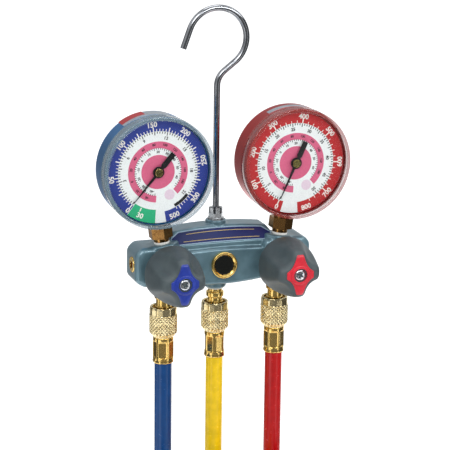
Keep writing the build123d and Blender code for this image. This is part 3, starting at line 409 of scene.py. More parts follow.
class Finishes:
    """Every material of the part, made once and kept under the name of its slot."""

    def __init__(self, lens_centres: dict[Side, tuple]) -> None:
        """Builds the materials.

        Args:
            lens_centres: the middle of each gauge, in millimetres.
        """
        # painted light on the lens rims: the blue case and pale reflections on the left, the red case seen
        # through the rim on the right
        rims_painted_light = {Side.LEFT: colour(128, 150, 162), Side.RIGHT: colour(158, 62, 58)}
        clear = {f"lens_{side.word}": ClearLens(f"clear_{side.word}", centre, rim_tint=rims_painted_light[side])
                 for side, centre in lens_centres.items()}
        kinds = {
            "body_paint": CastPaint(),
            "label_navy": Print("navy_enamel", colour(26, 38, 92), 0.3),
            "label_gold": Print("gold_line", colour(206, 180, 112), 0.35),
            "label_rim": Print("plate_rim", colour(150, 176, 196), 0.3),
            "chrome": Metal("chrome_plate", colour(214, 216, 218), colour(190, 193, 196), 0.07, 0.001),
            "plated_steel": Metal("zinc_plate", colour(200, 202, 204), colour(168, 170, 172), 0.22, 0.004),
            "brass": Metal("bright_brass", colour(242, 206, 124), colour(222, 178, 92), 0.16, 0.0015),
            "nut_brass": Metal("nut_brass", colour(234, 216, 168), colour(212, 190, 136), 0.16, 0.0015),
            "hub_brass": Metal("hub_brass", colour(146, 136, 84), colour(120, 110, 64), 0.24, 0.002),
            "hook_chrome": Metal("hook_chrome", colour(150, 152, 156), colour(128, 131, 136), 0.08, 0.001),
            "label_red": Print("sticker_red", colour(150, 20, 28), 0.45),
            "brass_dark": Metal("warm_brass", colour(172, 128, 74), colour(146, 104, 60), 0.16, 0.0015),
            "white_nylon": Plastic("white_nylon", colour(246, 243, 236), colour(232, 229, 221), 0.4, 0.008),
            "seal_rubber": Plastic("seal_rubber", colour(38, 38, 40), colour(28, 28, 30), 0.6, 0.02),
            "label_silver": Metal("silver_card", colour(196, 204, 212), colour(158, 168, 180), 0.32),
            "case_blue": CasePaint("case_lacquer_blue", colour(26, 108, 172), colour(84, 160, 212)),
            "case_red": CasePaint("case_lacquer_red", colour(170, 14, 12), colour(206, 48, 40)),
            "dial_white": Print("dial_card", colour(236, 241, 240)),
            "dial_blue": Print("ink_blue", colour(34, 56, 146)),
            "dial_red": Print("ink_red", colour(190, 28, 32)),
            "dial_pink": Print("ink_pink", colour(214, 96, 132)),
            "dial_green": Print("ink_green", colour(32, 180, 124)),
            "dial_black": Print("ink_black", colour(12, 13, 18)),
            "dial_pale": Print("ink_pale", colour(226, 206, 220)),
            "pointer_black": Plastic("pointer_enamel", colour(22, 22, 24), colour(14, 14, 16), 0.35, 0.004),
            "sight_glass": SightGlass(),
            "knob_grey": Plastic("knob_rubber", colour(66, 77, 80), colour(56, 67, 71), 0.5, 0.03),
            "insert_blue": Plastic("insert_plastic_blue", colour(26, 52, 150), colour(22, 44, 132), 0.34, 0.008),
            "insert_red": Plastic("insert_plastic_red", colour(212, 30, 50), colour(190, 24, 42), 0.34, 0.008),
            "hose_blue": HoseRubber("hose_cover_blue", colour(2, 62, 120)),
            "hose_yellow": HoseRubber("hose_cover_yellow", colour(240, 200, 10)),
            "hose_red": HoseRubber("hose_cover_red", colour(180, 8, 12)),
            "tie_black": Plastic("tie_black", colour(34, 34, 36), colour(24, 24, 26), 0.6, 0.04),
        } | clear
        self.made = {slot: kind.material() for slot, kind in kinds.items()}

    def __getitem__(self, name: str) -> bpy.types.Material:
        """The material under a name."""
        return self.made[name]


# -------------------------------------------------------------------------------------------- mesh tools
def at(x: float, y: float, z: float, right: Sequence[float], out: Sequence[float]) -> Matrix:
    """A placement in metres from a local frame in millimetres.

    Args:
        x: the origin's X in millimetres.
        y: its Y.
        z: its Z.
        right: where local x points.
        out: where local z points.

    Returns:
        The matrix from local millimetres to the part's metres.
    """
    x_dir, z_dir = Vector(right).normalized(), Vector(out).normalized()
    y_dir = z_dir.cross(x_dir)
    turn = Matrix((x_dir, y_dir, z_dir)).transposed().to_4x4()
    return Matrix.Translation(Vector((x, y, z)) * MM) @ turn @ Matrix.Scale(MM, 4)


def forward(x: float, y: float, z: float) -> Matrix:
    """A placement whose local z points to the front, local x right and local y up."""
    return at(x, y, z, (1, 0, 0), (0, -1, 0))


def downward(x: float, y: float, z: float) -> Matrix:
    """A placement whose local z points down."""
    return at(x, y, z, (1, 0, 0), (0, 0, -1))


def upward(x: float, y: float, z: float) -> Matrix:
    """A placement whose local z points up."""
    return at(x, y, z, (1, 0, 0), (0, 0, 1))


def skin(mesh: bmesh.types.BMesh, rings: Iterable[Ring], loop: bool = False, capped: bool = False) -> None:
    """Joins rings of points with faces.

    Args:
        mesh: the mesh that takes them.
        rings: rows of points; a row of one point is a pole.
        loop: whether the last row joins the first.
        capped: whether the first and the last row are closed with a face.
    """
    rows = [[mesh.verts.new(point) for point in ring] for ring in rings]
    for low, high in zip(rows, rows[1:] + (rows[:1] if loop else [])):
        for k in range(max(len(low), len(high))):
            corners = (low[k % len(low)], low[(k + 1) % len(low)],
                       high[(k + 1) % len(high)], high[k % len(high)])
            corners = list(dict.fromkeys(corners))
            if len(corners) > 2:
                mesh.faces.new(corners)
    if capped:
        mesh.faces.new(rows[0])
        mesh.faces.new(rows[-1])


def turned(profile: Profile, segments: int = 96,
           wave: Callable[[float, float, float], float] | None = None) -> list[Ring]:
    """Rings of a turned shape round local z.

    Args:
        profile: radius and height of each ring.
        segments: points in a ring.
        wave: gives the radius for a radius, a height and an angle.

    Returns:
        The rings.
    """
    rings = []
    for radius, height in profile:
        if radius < 1e-6:
            rings.append([Vector((0, 0, height))])
            continue
        ring = []
        for k in range(segments):
            angle = 2 * pi * k / segments
            reach = wave(radius, height, angle) if wave else radius
            ring.append(Vector((reach * cos(angle), reach * sin(angle), height)))
        rings.append(ring)
    return rings


def rounded(corners: Sequence[tuple], steps: int = 4) -> Profile:
    """A profile whose corners are rounded.

    Args:
        corners: radius, height and, where the corner is round, its fillet radius.
        steps: pieces of an arc.

    Returns:
        The points of the profile.
    """
    points: Profile = []
    for k, corner in enumerate(corners):
        here = Vector(corner[:2])
        fillet = corner[2] if len(corner) > 2 else 0.0
        if fillet <= 0 or k in (0, len(corners) - 1):
            points.append(tuple(here))
            continue
        back = (Vector(corners[k - 1][:2]) - here)
        ahead = (Vector(corners[k + 1][:2]) - here)
        half = back.angle(ahead) / 2
        reach = min(fillet / tan(half), 0.49 * back.length, 0.49 * ahead.length)
        start, end = here + back.normalized() * reach, here + ahead.normalized() * reach
        for step in range(steps + 1):
            share = step / steps
            point = start.lerp(here, share).lerp(here.lerp(end, share), share)
            points.append(tuple(point))
    return points


def refined(profile: Profile, low: float, high: float, step: float) -> Profile:
    """A profile with extra rings between two heights on its outer run."""
    out = [profile[0]]
    for (r0, z0), (r1, z1) in zip(profile, profile[1:]):
        if min(z0, z1) >= low - 0.01 and max(z0, z1) <= high + 0.01 and abs(z1 - z0) > step:
            count = int(abs(z1 - z0) / step)
            out += [(r0 + (r1 - r0) * k / count, z0 + (z1 - z0) * k / count) for k in range(1, count)]
        out.append((r1, z1))
    return out


def prism(mesh: bmesh.types.BMesh, outline: Sequence[tuple[float, float]], low: float, high: float) -> None:
    """A closed plate with a given outline between two heights of local z."""
    bottom = [mesh.verts.new((x, y, low)) for x, y in outline]
    top = [mesh.verts.new((x, y, high)) for x, y in outline]
    mesh.faces.new(top)
    mesh.faces.new(bottom[::-1])
    for k, vert in enumerate(bottom):
        following = (k + 1) % len(bottom)
        mesh.faces.new((vert, bottom[following], top[following], top[k]))


def add_form(mesh: bmesh.types.BMesh, form: bmesh.types.BMesh, place: Matrix) -> None:
    """Adds a finished form to a mesh in the part's millimetres.

    Args:
        mesh: the mesh that takes it.
        form: the form, in its own frame; it is used up.
        place: where it goes.
    """
    form.transform(Matrix.Scale(1 / MM, 4) @ place)
    data = bpy.data.meshes.new("form_work")
    form.to_mesh(data)
    form.free()
    mesh.from_mesh(data)
    bpy.data.meshes.remove(data)


def piece(name: str, mesh: bmesh.types.BMesh, place: Matrix, material: bpy.types.Material, slot: str,
          body: str, *replaced: str) -> bpy.types.Object:
    """Makes a visible piece from a mesh, hangs it on its body and hides the nodes that it stands for.

    Args:
        name: the piece's name.
        mesh: its mesh, in local millimetres.
        place: where it goes.
        material: its finish.
        slot: the record's material slot; not used.
        body: the body that it rides on.
        replaced: the nodes that it stands for.

    Returns:
        The piece.
    """
    mesh.transform(place)
    bmesh.ops.recalc_face_normals(mesh, faces=mesh.faces)
    for face in mesh.faces:
        face.smooth = True
    for edge in mesh.edges:
        edge.smooth = len(edge.link_faces) != 2 or edge.calc_face_angle(0.0) < CREASE
    data = bpy.data.meshes.new(name)
    mesh.to_mesh(data)
    mesh.free()
    made = bpy.data.objects.new(name, data)
    bpy.context.scene.collection.objects.link(made)
    data.materials.append(material)
    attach(made, body)
    if replaced:
        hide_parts(*replaced)
    LOG.info("%s: %d faces on %s", name, len(data.polygons), body)
    return made


def dress(node: str, material: bpy.types.Material) -> None:
    """Gives a node of the frame its finish."""
    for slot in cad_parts[node].material_slots:
        slot.material = material


def hexagon(flats: float) -> Callable[[float, float, float], float]:
    """A wave that cuts a turned shape to a hexagon across given flats."""
    def cut(radius: float, _height: float, angle: float) -> float:
        """The radius at an angle."""
        off = (angle + pi / 6) % (pi / 3) - pi / 6
        return min(radius, flats / 2 / cos(off))
    return cut


def soft_step(value: float, low: float, high: float) -> float:
    """A smooth rise from 0 at low to 1 at high."""
    share = min(max((value - low) / (high - low), 0.0), 1.0)
    return share * share * (3 - 2 * share)


# ---------------------------------------------------------------------------------------------- casting
@dataclass
class ManifoldBody:
    """The painted casting, its name plate, end plugs and sight glass."""

    finishes: Finishes
    voxel: float = 0.55
    smoothing: int = 9
    facet_middle: tuple = (0.0, -12.13, 21.628)  # height above the valve axis
    facet_normal: tuple = (0.0, -11.8, 9.5)
    plate_level: float = -0.2
    stripe: float = 0.42
    ring_radius: float = 10.1
    ring_front: float = 22.2
    ring_seat: float = 20.0
    glass_radius: float = 7.5
    glass_front: float = 20.8
    plug_x: float = 69.6
    plug_radius: float = 5.78
    plug_y: float = -10.6
    plug_level: float = 3.4
    plug_length: float = 7.6
    key_flats: float = 4.8
    key_depth: float = 3.8

    def outline(self, grow: float, steps: int = 28) -> list[tuple[float, float]]:
        """The arched outline of the name plate, in the plane of the facet.

        Args:
            grow: how much larger than the nominal plate it is.
            steps: pieces of each arc.

        Returns:
            Points anticlockwise from the lower left corner.
        """
        low, high = -6.0 - grow, 3.6 + grow
        lower = self.arc((-38.4 - grow, low), (0, -5.2 - grow), (38.4 + grow, low), steps)
        upper = self.arc((32.5 + grow, high), (0, 5.3 + grow), (-32.5 - grow, high), steps)
        return lower + [(39 + grow, -1.0)] + upper + [(-39 - grow, -1.0)]

    @staticmethod
    def arc(first: tuple, middle: tuple, last: tuple, steps: int) -> list[tuple[float, float]]:
        """Points of a shallow arc through three points whose middle one is at X = 0."""
        span, rise = first[0], middle[1] - first[1]
        bow = (span * span + rise * rise) / (2 * rise)
        centre = middle[1] - bow
        points = []
        for k in range(steps + 1):
            x = first[0] + (last[0] - first[0]) * k / steps
            points.append((x, centre + (1 if bow > 0 else -1) * sqrt(bow * bow - x * x)))
        return points

    def build(self) -> None:
        """Builds the casting and its trim."""
        self.casting()
        self.name_plate()
        self.sight()
        self.plugs()

    def casting(self) -> None:
        """The body, with the soft edges and the slightly uneven skin of a casting."""
        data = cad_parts["manifold_body"].data.copy()
        rough = bpy.data.objects.new("casting_work", data)
        bpy.context.scene.collection.objects.link(rough)
        weld = rough.modifiers.new("weld", "WELD")
        weld.merge_threshold = 1e-6
        remesh = rough.modifiers.new("remesh", "REMESH")
        remesh.mode = "VOXEL"
        remesh.voxel_size = self.voxel * MM
        smooth = rough.modifiers.new("smooth", "SMOOTH")
        smooth.iterations = self.smoothing
        smooth.factor = 0.5
        bpy.context.view_layer.update()
        graph = bpy.context.evaluated_depsgraph_get()
        shaped = bpy.data.meshes.new_from_object(rough.evaluated_get(graph))
        bpy.data.objects.remove(rough)
        mesh = bmesh.new()
        mesh.from_mesh(shaped)
        piece("body_casting", mesh, Matrix.Identity(4), self.finishes["body_paint"], "body_paint",
              "manifold", "manifold_body")

    def facet(self) -> Matrix:
        """The placement of the sloping facet."""
        x, y, height = self.facet_middle
        return at(x, y, VALVE_LEVEL + height, (1, 0, 0), self.facet_normal)

    def name_plate(self) -> None:
        """A bare navy plate with a bright rim and thin gold pinstripes."""
        plate = bmesh.new()
        prism(plate, self.outline(0.3), self.plate_level - 0.4, self.plate_level)
        piece("plate_face", plate, self.facet(), self.finishes["label_navy"], "label_navy", "manifold",
              "label_plate")
        rim = bmesh.new()
        inner, outer = self.outline(0.15), self.outline(0.75)
        section = ((0, -0.35), (0, 0.12), (1, 0.12), (1, -0.35))
        rows = [[Vector((*(near, far)[edge], level)) for edge, level in section]
                for near, far in zip(inner, outer)]
        skin(rim, rows, loop=True)
        piece("plate_rim", rim, self.facet(), self.finishes["label_rim"], "label_navy", "manifold")
        lines = bmesh.new()
        runs = ((-30, 30, -4.1, -3.4, 22), (-27, 27, 1.9, 3.1, 22))
        for left, right, end_level, middle_level, steps in runs:
            low = self.arc((left, end_level), (0, middle_level), (right, end_level), steps)
            high = [(x, y + self.stripe) for x, y in low]
            prism(lines, low + high[::-1], self.plate_level - 0.05, self.plate_level + 0.06)
        piece("plate_pinstripes", lines, self.facet(), self.finishes["label_gold"], "label_navy", "manifold")

    def sight(self) -> None:
        """The brass ring of the sight glass, with a faceted inner edge, and the domed glass."""
        place = forward(0, 0, VALVE_LEVEL)
        front, seat, inner = self.ring_front, self.ring_seat, self.glass_radius
        profile = rounded([(self.ring_radius, seat - 0.6), (self.ring_radius, front, 0.9),
                           (inner + 1.2, front, 0.4), (inner + 0.1, front - 1.1), (inner + 0.1, 15.4),
                           (8.3, 15.4), (8.3, seat - 0.6)])

        def nibbled(radius: float, height: float, angle: float) -> float:
            """The radius at an angle, with shallow flats on the inner edge."""
            if radius > inner + 1.0 or height < front - 1.4:
                return radius
            off = (angle + pi / 16) % (pi / 8) - pi / 16
            return radius + 0.25 * (1 - cos(off * 8)) - 0.1
        ring = bmesh.new()
        skin(ring, turned(profile, 128, nibbled), loop=True)
        piece("sight_ring", ring, place, self.finishes["brass"], "brass", "manifold", "sight_glass_ring")
        glass = bmesh.new()
        dome = rounded([(0, 16.1), (inner - 0.05, 16.1), (inner - 0.05, self.glass_front, 0.6),
                        (3.5, self.glass_front, 2.0), (0, self.glass_front)])
        skin(glass, turned(dome, 96))
        piece("sight_window", glass, place, self.finishes["sight_glass"], "sight_glass", "manifold",
              "sight_glass")
        dress("sight_glass_seal", self.finishes["seal_rubber"])

    def plugs(self) -> None:
        """The brass plugs in both ends of the gallery, each with a hexagon key socket."""
        key, key_corner, mouth = hexagon(self.key_flats), 2.77, 3.1
        length, floor_level = self.plug_length, self.plug_length - self.key_depth

        def socket(radius: float, height: float, angle: float) -> float:
            """The radius at a place, cut to the key inside the socket."""
            return key(radius, height, angle) if radius < 2.9 else radius
        profile = rounded([(0, floor_level), (key_corner, floor_level), (key_corner, length - 0.3),
                           (mouth, length), (self.plug_radius, length, 0.7), (self.plug_radius, 0.0), (0, 0.0)])
        mesh = bmesh.new()
        for side in Side:
            plug = bmesh.new()
            skin(plug, turned(profile, 96, socket))
            inner_end = side.value * (self.plug_x - length)
            add_form(mesh, plug, at(inner_end, self.plug_y, VALVE_LEVEL + self.plug_level,
                                    (0, side.value, 0), (side.value, 0, 0)))
        piece("gallery_plugs", mesh, Matrix.Scale(MM, 4), self.finishes["brass"], "brass", "manifold",
              "end_plugs")


# ------------------------------------------------------------------------------------------------- hook
@dataclass
class Hook:
    """The bent wire hook and its slotted nut."""

    finishes: Finishes

    def build(self) -> None:
        """Dresses the hook and its nut."""
        dress("hook", self.finishes["hook_chrome"])
        dress("hook_nut", self.finishes["plated_steel"])


# ------------------------------------------------------------------------------------------------ knobs
@dataclass
class KnobForm:
    """The outer form of a four-lobed knob, as a distance field in its own frame."""

    depth: float = 34.0
    face_blend: float = 4.0
    flute: float = 13.0
    flute_at_face: float = 25.0
    flute_slope: float = 20.0
    flute_blend: float = 3.0
    flank_at_face: float = 16.4
    flank_at_back: float = 21.3
    flank_back: float = 7.0
    flank_blend: float = 3.5
    back_blend: float = 1.6
    heart: float = 17.0
    section: tuple = ((-1.0, 19.6), (0.0, 20.3), (1.2, 21.0), (4.0, 21.3), (12.0, 20.9), (20.0, 19.9),
                      (26.0, 18.9), (30.0, 18.0), (34.0, 16.2), (36.0, 15.2))  # depth and radius

    @staticmethod
    def join(first: np.ndarray, second: np.ndarray, blend: float) -> np.ndarray:
        """The larger of two fields, with a rounded edge between them."""
        share = np.maximum(blend - np.abs(first - second), 0) / blend
        return np.maximum(first, second) + share * share * blend / 4

    def field(self, x: np.ndarray, y: np.ndarray, depth: np.ndarray) -> np.ndarray:
        """Below zero inside the knob.

        Args:
            x: places across.
            y: places up.
            depth: places from the back of the knob to its front.

        Returns:
            The field there.
        """
        radius = np.sqrt(x * x + y * y)
        depths, radii = zip(*self.section)
        value = radius - np.interp(depth, depths, radii)
        lean = radians(self.flute_slope)
        for k in range(4):
            around = radians(45 + 90 * k)
            along = x * cos(around) + y * sin(around)
            beside = -x * sin(around) + y * cos(around)
            axis = self.flute_at_face + (self.depth - depth) * tan(lean)
            hollow = self.flute - np.sqrt(((along - axis) * cos(lean)) ** 2 + beside ** 2)
            value = self.join(value, hollow, self.flute_blend)
        slope = (self.flank_at_back - self.flank_at_face) / (self.depth - self.flank_back)
        flank = np.abs(x) - self.flank_at_face - (self.depth - depth) * slope
        value = self.join(value, flank, self.flank_blend)
        value = self.join(value, depth - self.depth, self.face_blend)
        return self.join(value, -depth, self.back_blend)

    def shell(self, around: int = 216, along: int = 128) -> list[Ring]:
        """Rings of the knob's skin, found along rays from a point inside it.

        Args:
            around: points in a ring.
            along: rings from the back pole to the front one.

        Returns:
            The rings, with z to the front.
        """
        heart = self.heart
        angle = np.linspace(0, 2 * pi, around, endpoint=False)[None, :]
        tilt = np.linspace(0, pi, along + 1)[1:-1, None]
        dx, dy = np.sin(tilt) * np.cos(angle), np.sin(tilt) * np.sin(angle)
        dz = -np.cos(tilt) * np.ones_like(angle)
        near, far = np.zeros_like(dx), np.full_like(dx, 40.0)
        for _ in range(26):
            reach = (near + far) / 2
            inside = self.field(dx * reach, dy * reach, heart + dz * reach) < 0
            near, far = np.where(inside, reach, near), np.where(inside, far, reach)
        rings = [[Vector((0, 0, 0.0))]]
        for row in range(near.shape[0]):
            rings.append([Vector((dx[row, k] * near[row, k], dy[row, k] * near[row, k],
                                  heart + dz[row, k] * near[row, k])) for k in range(around)])
        rings.append([Vector((0, 0, self.front(0.0, 0.0)))])
        return rings

    def front(self, x: float, y: float) -> float:
        """The front of the knob over a point of its face."""
        near, far = 10.0, 40.0
        px, py = np.array([x]), np.array([y])
        for _ in range(24):
            middle = (near + far) / 2
            if self.field(px, py, np.array([middle]))[0] < 0:
                near = middle
            else:
                far = middle
        return near


@dataclass
class Valve:
    """One knob with its star insert and screw, and the valve parts behind it."""

    finishes: Finishes
    form: KnobForm
    side: Side
    axis: float = 44.5
    knob_back: float = 29.0
    star_long: float = 15.3
    star_short: float = 10.5
    star_tip: float = 2.6
    waist: tuple = (5.65, 7.0)
    proud: float = 0.7
    ring_inner: float = 5.1
    ring_outer: float = 7.4
    seat: float = 1.6
    head: float = 4.6

    def build(self) -> None:
        """Builds the valve's visible pieces."""
        word = self.side.word
        place = forward(self.side.value * self.axis, -self.knob_back, VALVE_LEVEL)
        body = f"knob_{word}"
        grip = bmesh.new()
        skin(grip, self.form.shell())
        piece(f"knob_{word}_grip", grip, place, self.finishes["knob_grey"], "knob_grey", body, f"knob_{word}")
        tint = "insert_blue" if self.side is Side.LEFT else "insert_red"
        star = bmesh.new()
        skin(star, self.star_rings())
        piece(f"knob_{word}_star", star, place, self.finishes[tint], tint, body, f"knob_insert_{word}")
        screw = bmesh.new()
        skin(screw, self.screw_rings())
        piece(f"knob_{word}_screw", screw, place, self.finishes["chrome"], "plated_steel", body,
              f"knob_screw_{word}")
        dress(f"valve_piston_{word}", self.finishes["brass"])
        dress(f"valve_stem_{word}", self.finishes["plated_steel"])

    def star_reach(self, angle: float) -> float:
        """The distance from the middle of the star to its outline.

        Args:
            angle: the direction, from across to up.

        Returns:
            The distance, softened at the waist and the points.
        """
        way = Vector((abs(cos(angle)), abs(sin(angle))))
        reach = min(self.star_short / max(way.x, 1e-6), self.star_long / max(way.y, 1e-6))
        first, last = Vector((self.star_tip, self.star_long)), Vector((self.star_short, self.star_tip))
        steps = 24
        points = [self.curve(first, Vector(self.waist), last, k / steps) for k in range(steps + 1)]
        for start, end in zip(points, points[1:]):
            edge = end - start
            slope = edge.x * way.y - edge.y * way.x
            if abs(slope) < 1e-9:
                continue
            share = (start.y * way.x - start.x * way.y) / slope
            if -0.001 <= share <= 1.001:
                reach = min(reach, (start + edge * share).length)
        return reach

    @staticmethod
    def curve(first: Vector, middle: Vector, last: Vector, share: float) -> Vector:
        """A point of a smooth curve through three points."""
        handle = middle * 2 - (first + last) / 2
        return first * (1 - share) ** 2 + handle * 2 * share * (1 - share) + last * share ** 2

    def star_rings(self, around: int = 192) -> list[Ring]:
        """Rings of the insert: a screw recess, a raised ring and the star down to its edge."""
        angles = [2 * pi * k / around for k in range(around)]
        edge = [self.star_reach(a) for a in angles]
        edge = [(edge[k - 2] + edge[k - 1] * 2 + edge[k] * 3 + edge[(k + 1) % around] * 2
                 + edge[(k + 2) % around]) / 9 for k in range(around)]
        floor_level = self.form.depth - self.seat + 0.05
        rings = [[Vector((0, 0, floor_level))]]
        ring_top = self.form.depth + 2 * self.proud
        steps = ((self.ring_inner - 0.1, floor_level), (self.ring_inner, floor_level + 0.2),
                 (self.ring_inner + 0.05, ring_top - 0.35), (self.ring_inner + 0.35, ring_top),
                 (self.ring_outer - 0.5, ring_top), (self.ring_outer - 0.12, ring_top - 0.25),
                 (self.ring_outer, self.form.depth + self.proud + 0.1))
        for radius, level in steps:
            rings.append([Vector((radius * cos(a), radius * sin(a), level)) for a in angles])
        spread = 12
        for step in range(1, spread + 1):
            share = step / spread
            ring = []
            for angle, reach in zip(angles, edge):
                radius = self.ring_outer + 0.1 + (reach - self.ring_outer - 0.1) * share
                x, y = radius * cos(angle), radius * sin(angle)
                drop = 0.35 * soft_step(share, 0.86, 1.0)
                ring.append(Vector((x, y, self.form.front(x, y) + self.proud - drop)))
            rings.append(ring)
        rings.append([Vector((p.x, p.y, p.z - 1.6)) for p in rings[-1]])
        rings.append([Vector((0, 0, self.form.depth - 4.0))])
        return rings

    def screw_rings(self, around: int = 128) -> list[Ring]:
        """Rings of the pan-head screw, with a cross recess pressed into its crown."""
        base, top = self.form.depth - self.seat + 0.1, self.form.depth + 1.0
        deepest, crown_edge, turn = 1.7, 3.4, 0.5

        def level(radius: float, angle: float) -> float:
            """The height of the crown, with the cross pressed in."""
            x, y = abs(radius * cos(angle)), abs(radius * sin(angle))
            crown = top - 0.35 * (radius / crown_edge) ** 2 - max(radius - crown_edge, 0) ** 1.6 * 0.75
            sunk = (1 - soft_step(min(x, y), 0.42, 0.72)) * (1 - soft_step(max(x, y), 2.3, 2.75))
            return crown - sunk * (deepest - 0.35 * max(x, y))
        angles = [2 * pi * k / around for k in range(around)]
        rings = [[Vector((0, 0, top - deepest))]]
        for radius in (0.3, 0.5, 0.7, 0.95, 1.2, 1.5, 1.8, 2.1, 2.35, 2.6, 2.85, 3.1, 3.5, 3.9, 4.2, 4.42, 4.55):
            rings.append([Vector((radius * cos(a), radius * sin(a), level(radius, a + turn))) for a in angles])
        shank = ((self.head, base + 0.5), (self.head, base), (2.0, base), (2.0, 16.0), (0.0, 16.0))
        return rings + turned(shank, around)


# ----------------------------------------------------------------------------------------------- gauges
@dataclass
class Scale:
    """The printed scales of one dial; angles run clockwise from straight down, in degrees."""

    side: Side
    numbers: dict[str, float]
    ring: tuple[float, float]
    unit_step: float
    units_per_major: int
    bar_numbers: dict[str, float]
    bar_step: float
    bar_major: int
    pink: tuple[float, float]
    zero: float
    pale_numbers: dict[str, float]
    inner_numbers: dict[str, float]


def left_scale() -> Scale:
    """The compound gauge's scales."""
    numbers = {"0": 40.5, "50": 84, "100": 128, "150": 173, "200": 216, "250": 259, "300": 306, "500": 339}
    return Scale(Side.LEFT, numbers, (38.0, 350.5), 4.43, 5,
                 {str(3 * k): 40.5 + 38.4 * k for k in range(1, 8)}, 3.84, 5, (4, 319), 40.5,
                 {str(20 * k - 40): 24 + 24.5 * k for k in range(12)},
                 {str(10 * k - 40): 18 + 27 * k for k in range(11)})


def right_scale() -> Scale:
    """The high-side gauge's scales."""
    last_figure = 345.0  # the last number stands a little early, clear of the gap
    numbers = {str(100 * k): min(24.4 + 41.26 * k, last_figure) for k in range(9)}
    return Scale(Side.RIGHT, numbers, (17.7, 356.5), 8.252, 5,
                 {str(5 * k): 24.4 + 30 * k for k in range(1, 11)}, 3.75, 4, (4, 319), 24.4,
                 {str(20 * k - 40): 24 + 24.5 * k for k in range(12)},
                 {str(10 * k - 40): 18 + 27 * k for k in range(11)})


@dataclass
class Dial:
    """The printed face of one gauge, drawn as thin inks on a card."""

    finishes: Finishes
    scale: Scale
    place: Matrix
    card: float = 12.8
    ink: float = 0.03
    outer: float = 38.25
    ring_inner: float = 30.2
    bar_outer: float = 30.0
    pink_inner: float = 17.7
    pink_outer: float = 22.7
    disc: float = 12.7
    parts: dict[str, bmesh.types.BMesh] = field(default_factory=dict)

    def ink_mesh(self, name: str) -> bmesh.types.BMesh:
        """The mesh that holds all marks of one ink."""
        return self.parts.setdefault(name, bmesh.new())

    @staticmethod
    def spot(radius: float, angle: float) -> tuple[float, float]:
        """A point of the dial, with the angle in degrees clockwise from straight down."""
        return (-radius * sin(radians(angle)), -radius * cos(radians(angle)))

    def sector(self, ink: str, inner: float, outer: float, start: float, end: float, lift: int) -> None:
        """A ring sector of ink.

        Args:
            ink: the ink's name.
            inner: its inner radius.
            outer: its outer radius.
            start: where it starts, in degrees.
            end: where it ends.
            lift: which layer of ink it is.
        """
        steps = max(int((end - start) / 2.5), 1)
        angles = [start + (end - start) * k / steps for k in range(steps + 1)]
        rim = [self.spot(outer, a) for a in angles]
        root = [self.spot(inner, a) for a in reversed(angles)] if inner > 0 else [(0.0, 0.0)]
        low = self.card - 0.01
        prism(self.ink_mesh(ink), rim + root, low, self.card + self.ink * lift)

    def tick(self, ink: str, inner: float, outer: float, angle: float, wide: float, lift: int = 3) -> None:
        """A radial mark of ink, with its width in millimetres."""
        half = Vector((cos(radians(angle)), -sin(radians(angle)))) * (wide / 2)
        low, high = Vector(self.spot(inner, angle)), Vector(self.spot(outer, angle))
        outline = [tuple(low - half), tuple(high - half), tuple(high + half), tuple(low + half)]
        prism(self.ink_mesh(ink), outline, self.card, self.card + self.ink * lift)

    def figure(self, ink: str, text: str, radius: float, angle: float, height: float,
               upright: bool | None = None) -> None:
        """A number of ink, its top outward in the dial's upper half and inward in its lower half.

        Args:
            ink: the ink's name.
            text: the digits.
            radius: the radius of its middle.
            angle: its place, in degrees.
            height: the height of its digits.
            upright: whether its top points outward, where that isn't worked out from the angle.
        """
        outward = 95 < angle < 255 if upright is None else upright
        turn = pi - radians(angle) if outward else -radians(angle)
        curve = bpy.data.curves.new("figure_work", "FONT")
        curve.body = text
        curve.offset = 0.03
        curve.extrude = 0.01
        curve.resolution_u = 3
        work = bpy.data.objects.new("figure_work", curve)
        data = bpy.data.meshes.new_from_object(work)
        xs, ys = [v.co.x for v in data.vertices], [v.co.y for v in data.vertices]
        middle = Vector(((min(xs) + max(xs)) / 2, (min(ys) + max(ys)) / 2))
        size = height / (max(ys) - min(ys))
        x, y = self.spot(radius, angle)
        for vert in data.vertices:
            px, py = (vert.co.x - middle.x) * size, (vert.co.y - middle.y) * size
            level = self.card + (self.ink * 3 if vert.co.z > 0 else 0.0)
            vert.co = (x + px * cos(turn) - py * sin(turn), y + px * sin(turn) + py * cos(turn), level)
        self.ink_mesh(ink).from_mesh(data)
        bpy.data.objects.remove(work)
        bpy.data.curves.remove(curve)
        bpy.data.meshes.remove(data)

    def build(self) -> None:
        """Prints the dial and turns each ink into a piece."""
        scale, side = self.scale, self.scale.side
        main_ink = "dial_blue" if side is Side.LEFT else "dial_red"
        self.sector(main_ink, self.ring_inner, self.outer, *scale.ring, 1)
        if side is Side.LEFT:
            self.sector("dial_green", self.ring_inner - 2.0, self.outer, 3.4, 37.5, 2)
            self.figure("dial_white", "30", 34.4, 23.5, 4.0, False)
            self.tick("dial_white", self.ring_inner - 1.4, self.ring_inner + 1.6, 26.0, 0.8)
            self.sector("dial_black", 27.6, 29.9, 310, 334, 2)
        self.sector("dial_pink", self.pink_inner, self.pink_outer, *scale.pink, 1)
        self.round("dial_pink", 0.0, 0.0, self.disc, 1)
        self.numerals()
        self.ticks()
        self.round("dial_pale", *self.spot(19.5, 333.0), 3.9, 2)
        plain_slots = {"dial_black": "pointer_black", "dial_white": "white_nylon", "dial_pale": "white_nylon"}
        for ink, mesh in self.parts.items():
            finish = "white_nylon" if ink == "dial_white" else ink
            piece(f"dial_{side.word}_{ink.removeprefix('dial_')}_ink", mesh, self.place,
                  self.finishes[finish], plain_slots.get(ink, main_ink), "manifold")
        dress(f"dial_{side.word}", self.finishes["dial_white"])

    def round(self, ink: str, x: float, y: float, radius: float, lift: int) -> None:
        """A full disc of ink round a point of the dial."""
        turns = [2 * pi * k / 96 for k in range(96)]
        prism(self.ink_mesh(ink), [(x + radius * cos(turn), y + radius * sin(turn)) for turn in turns],
              self.card - 0.01, self.card + self.ink * lift)

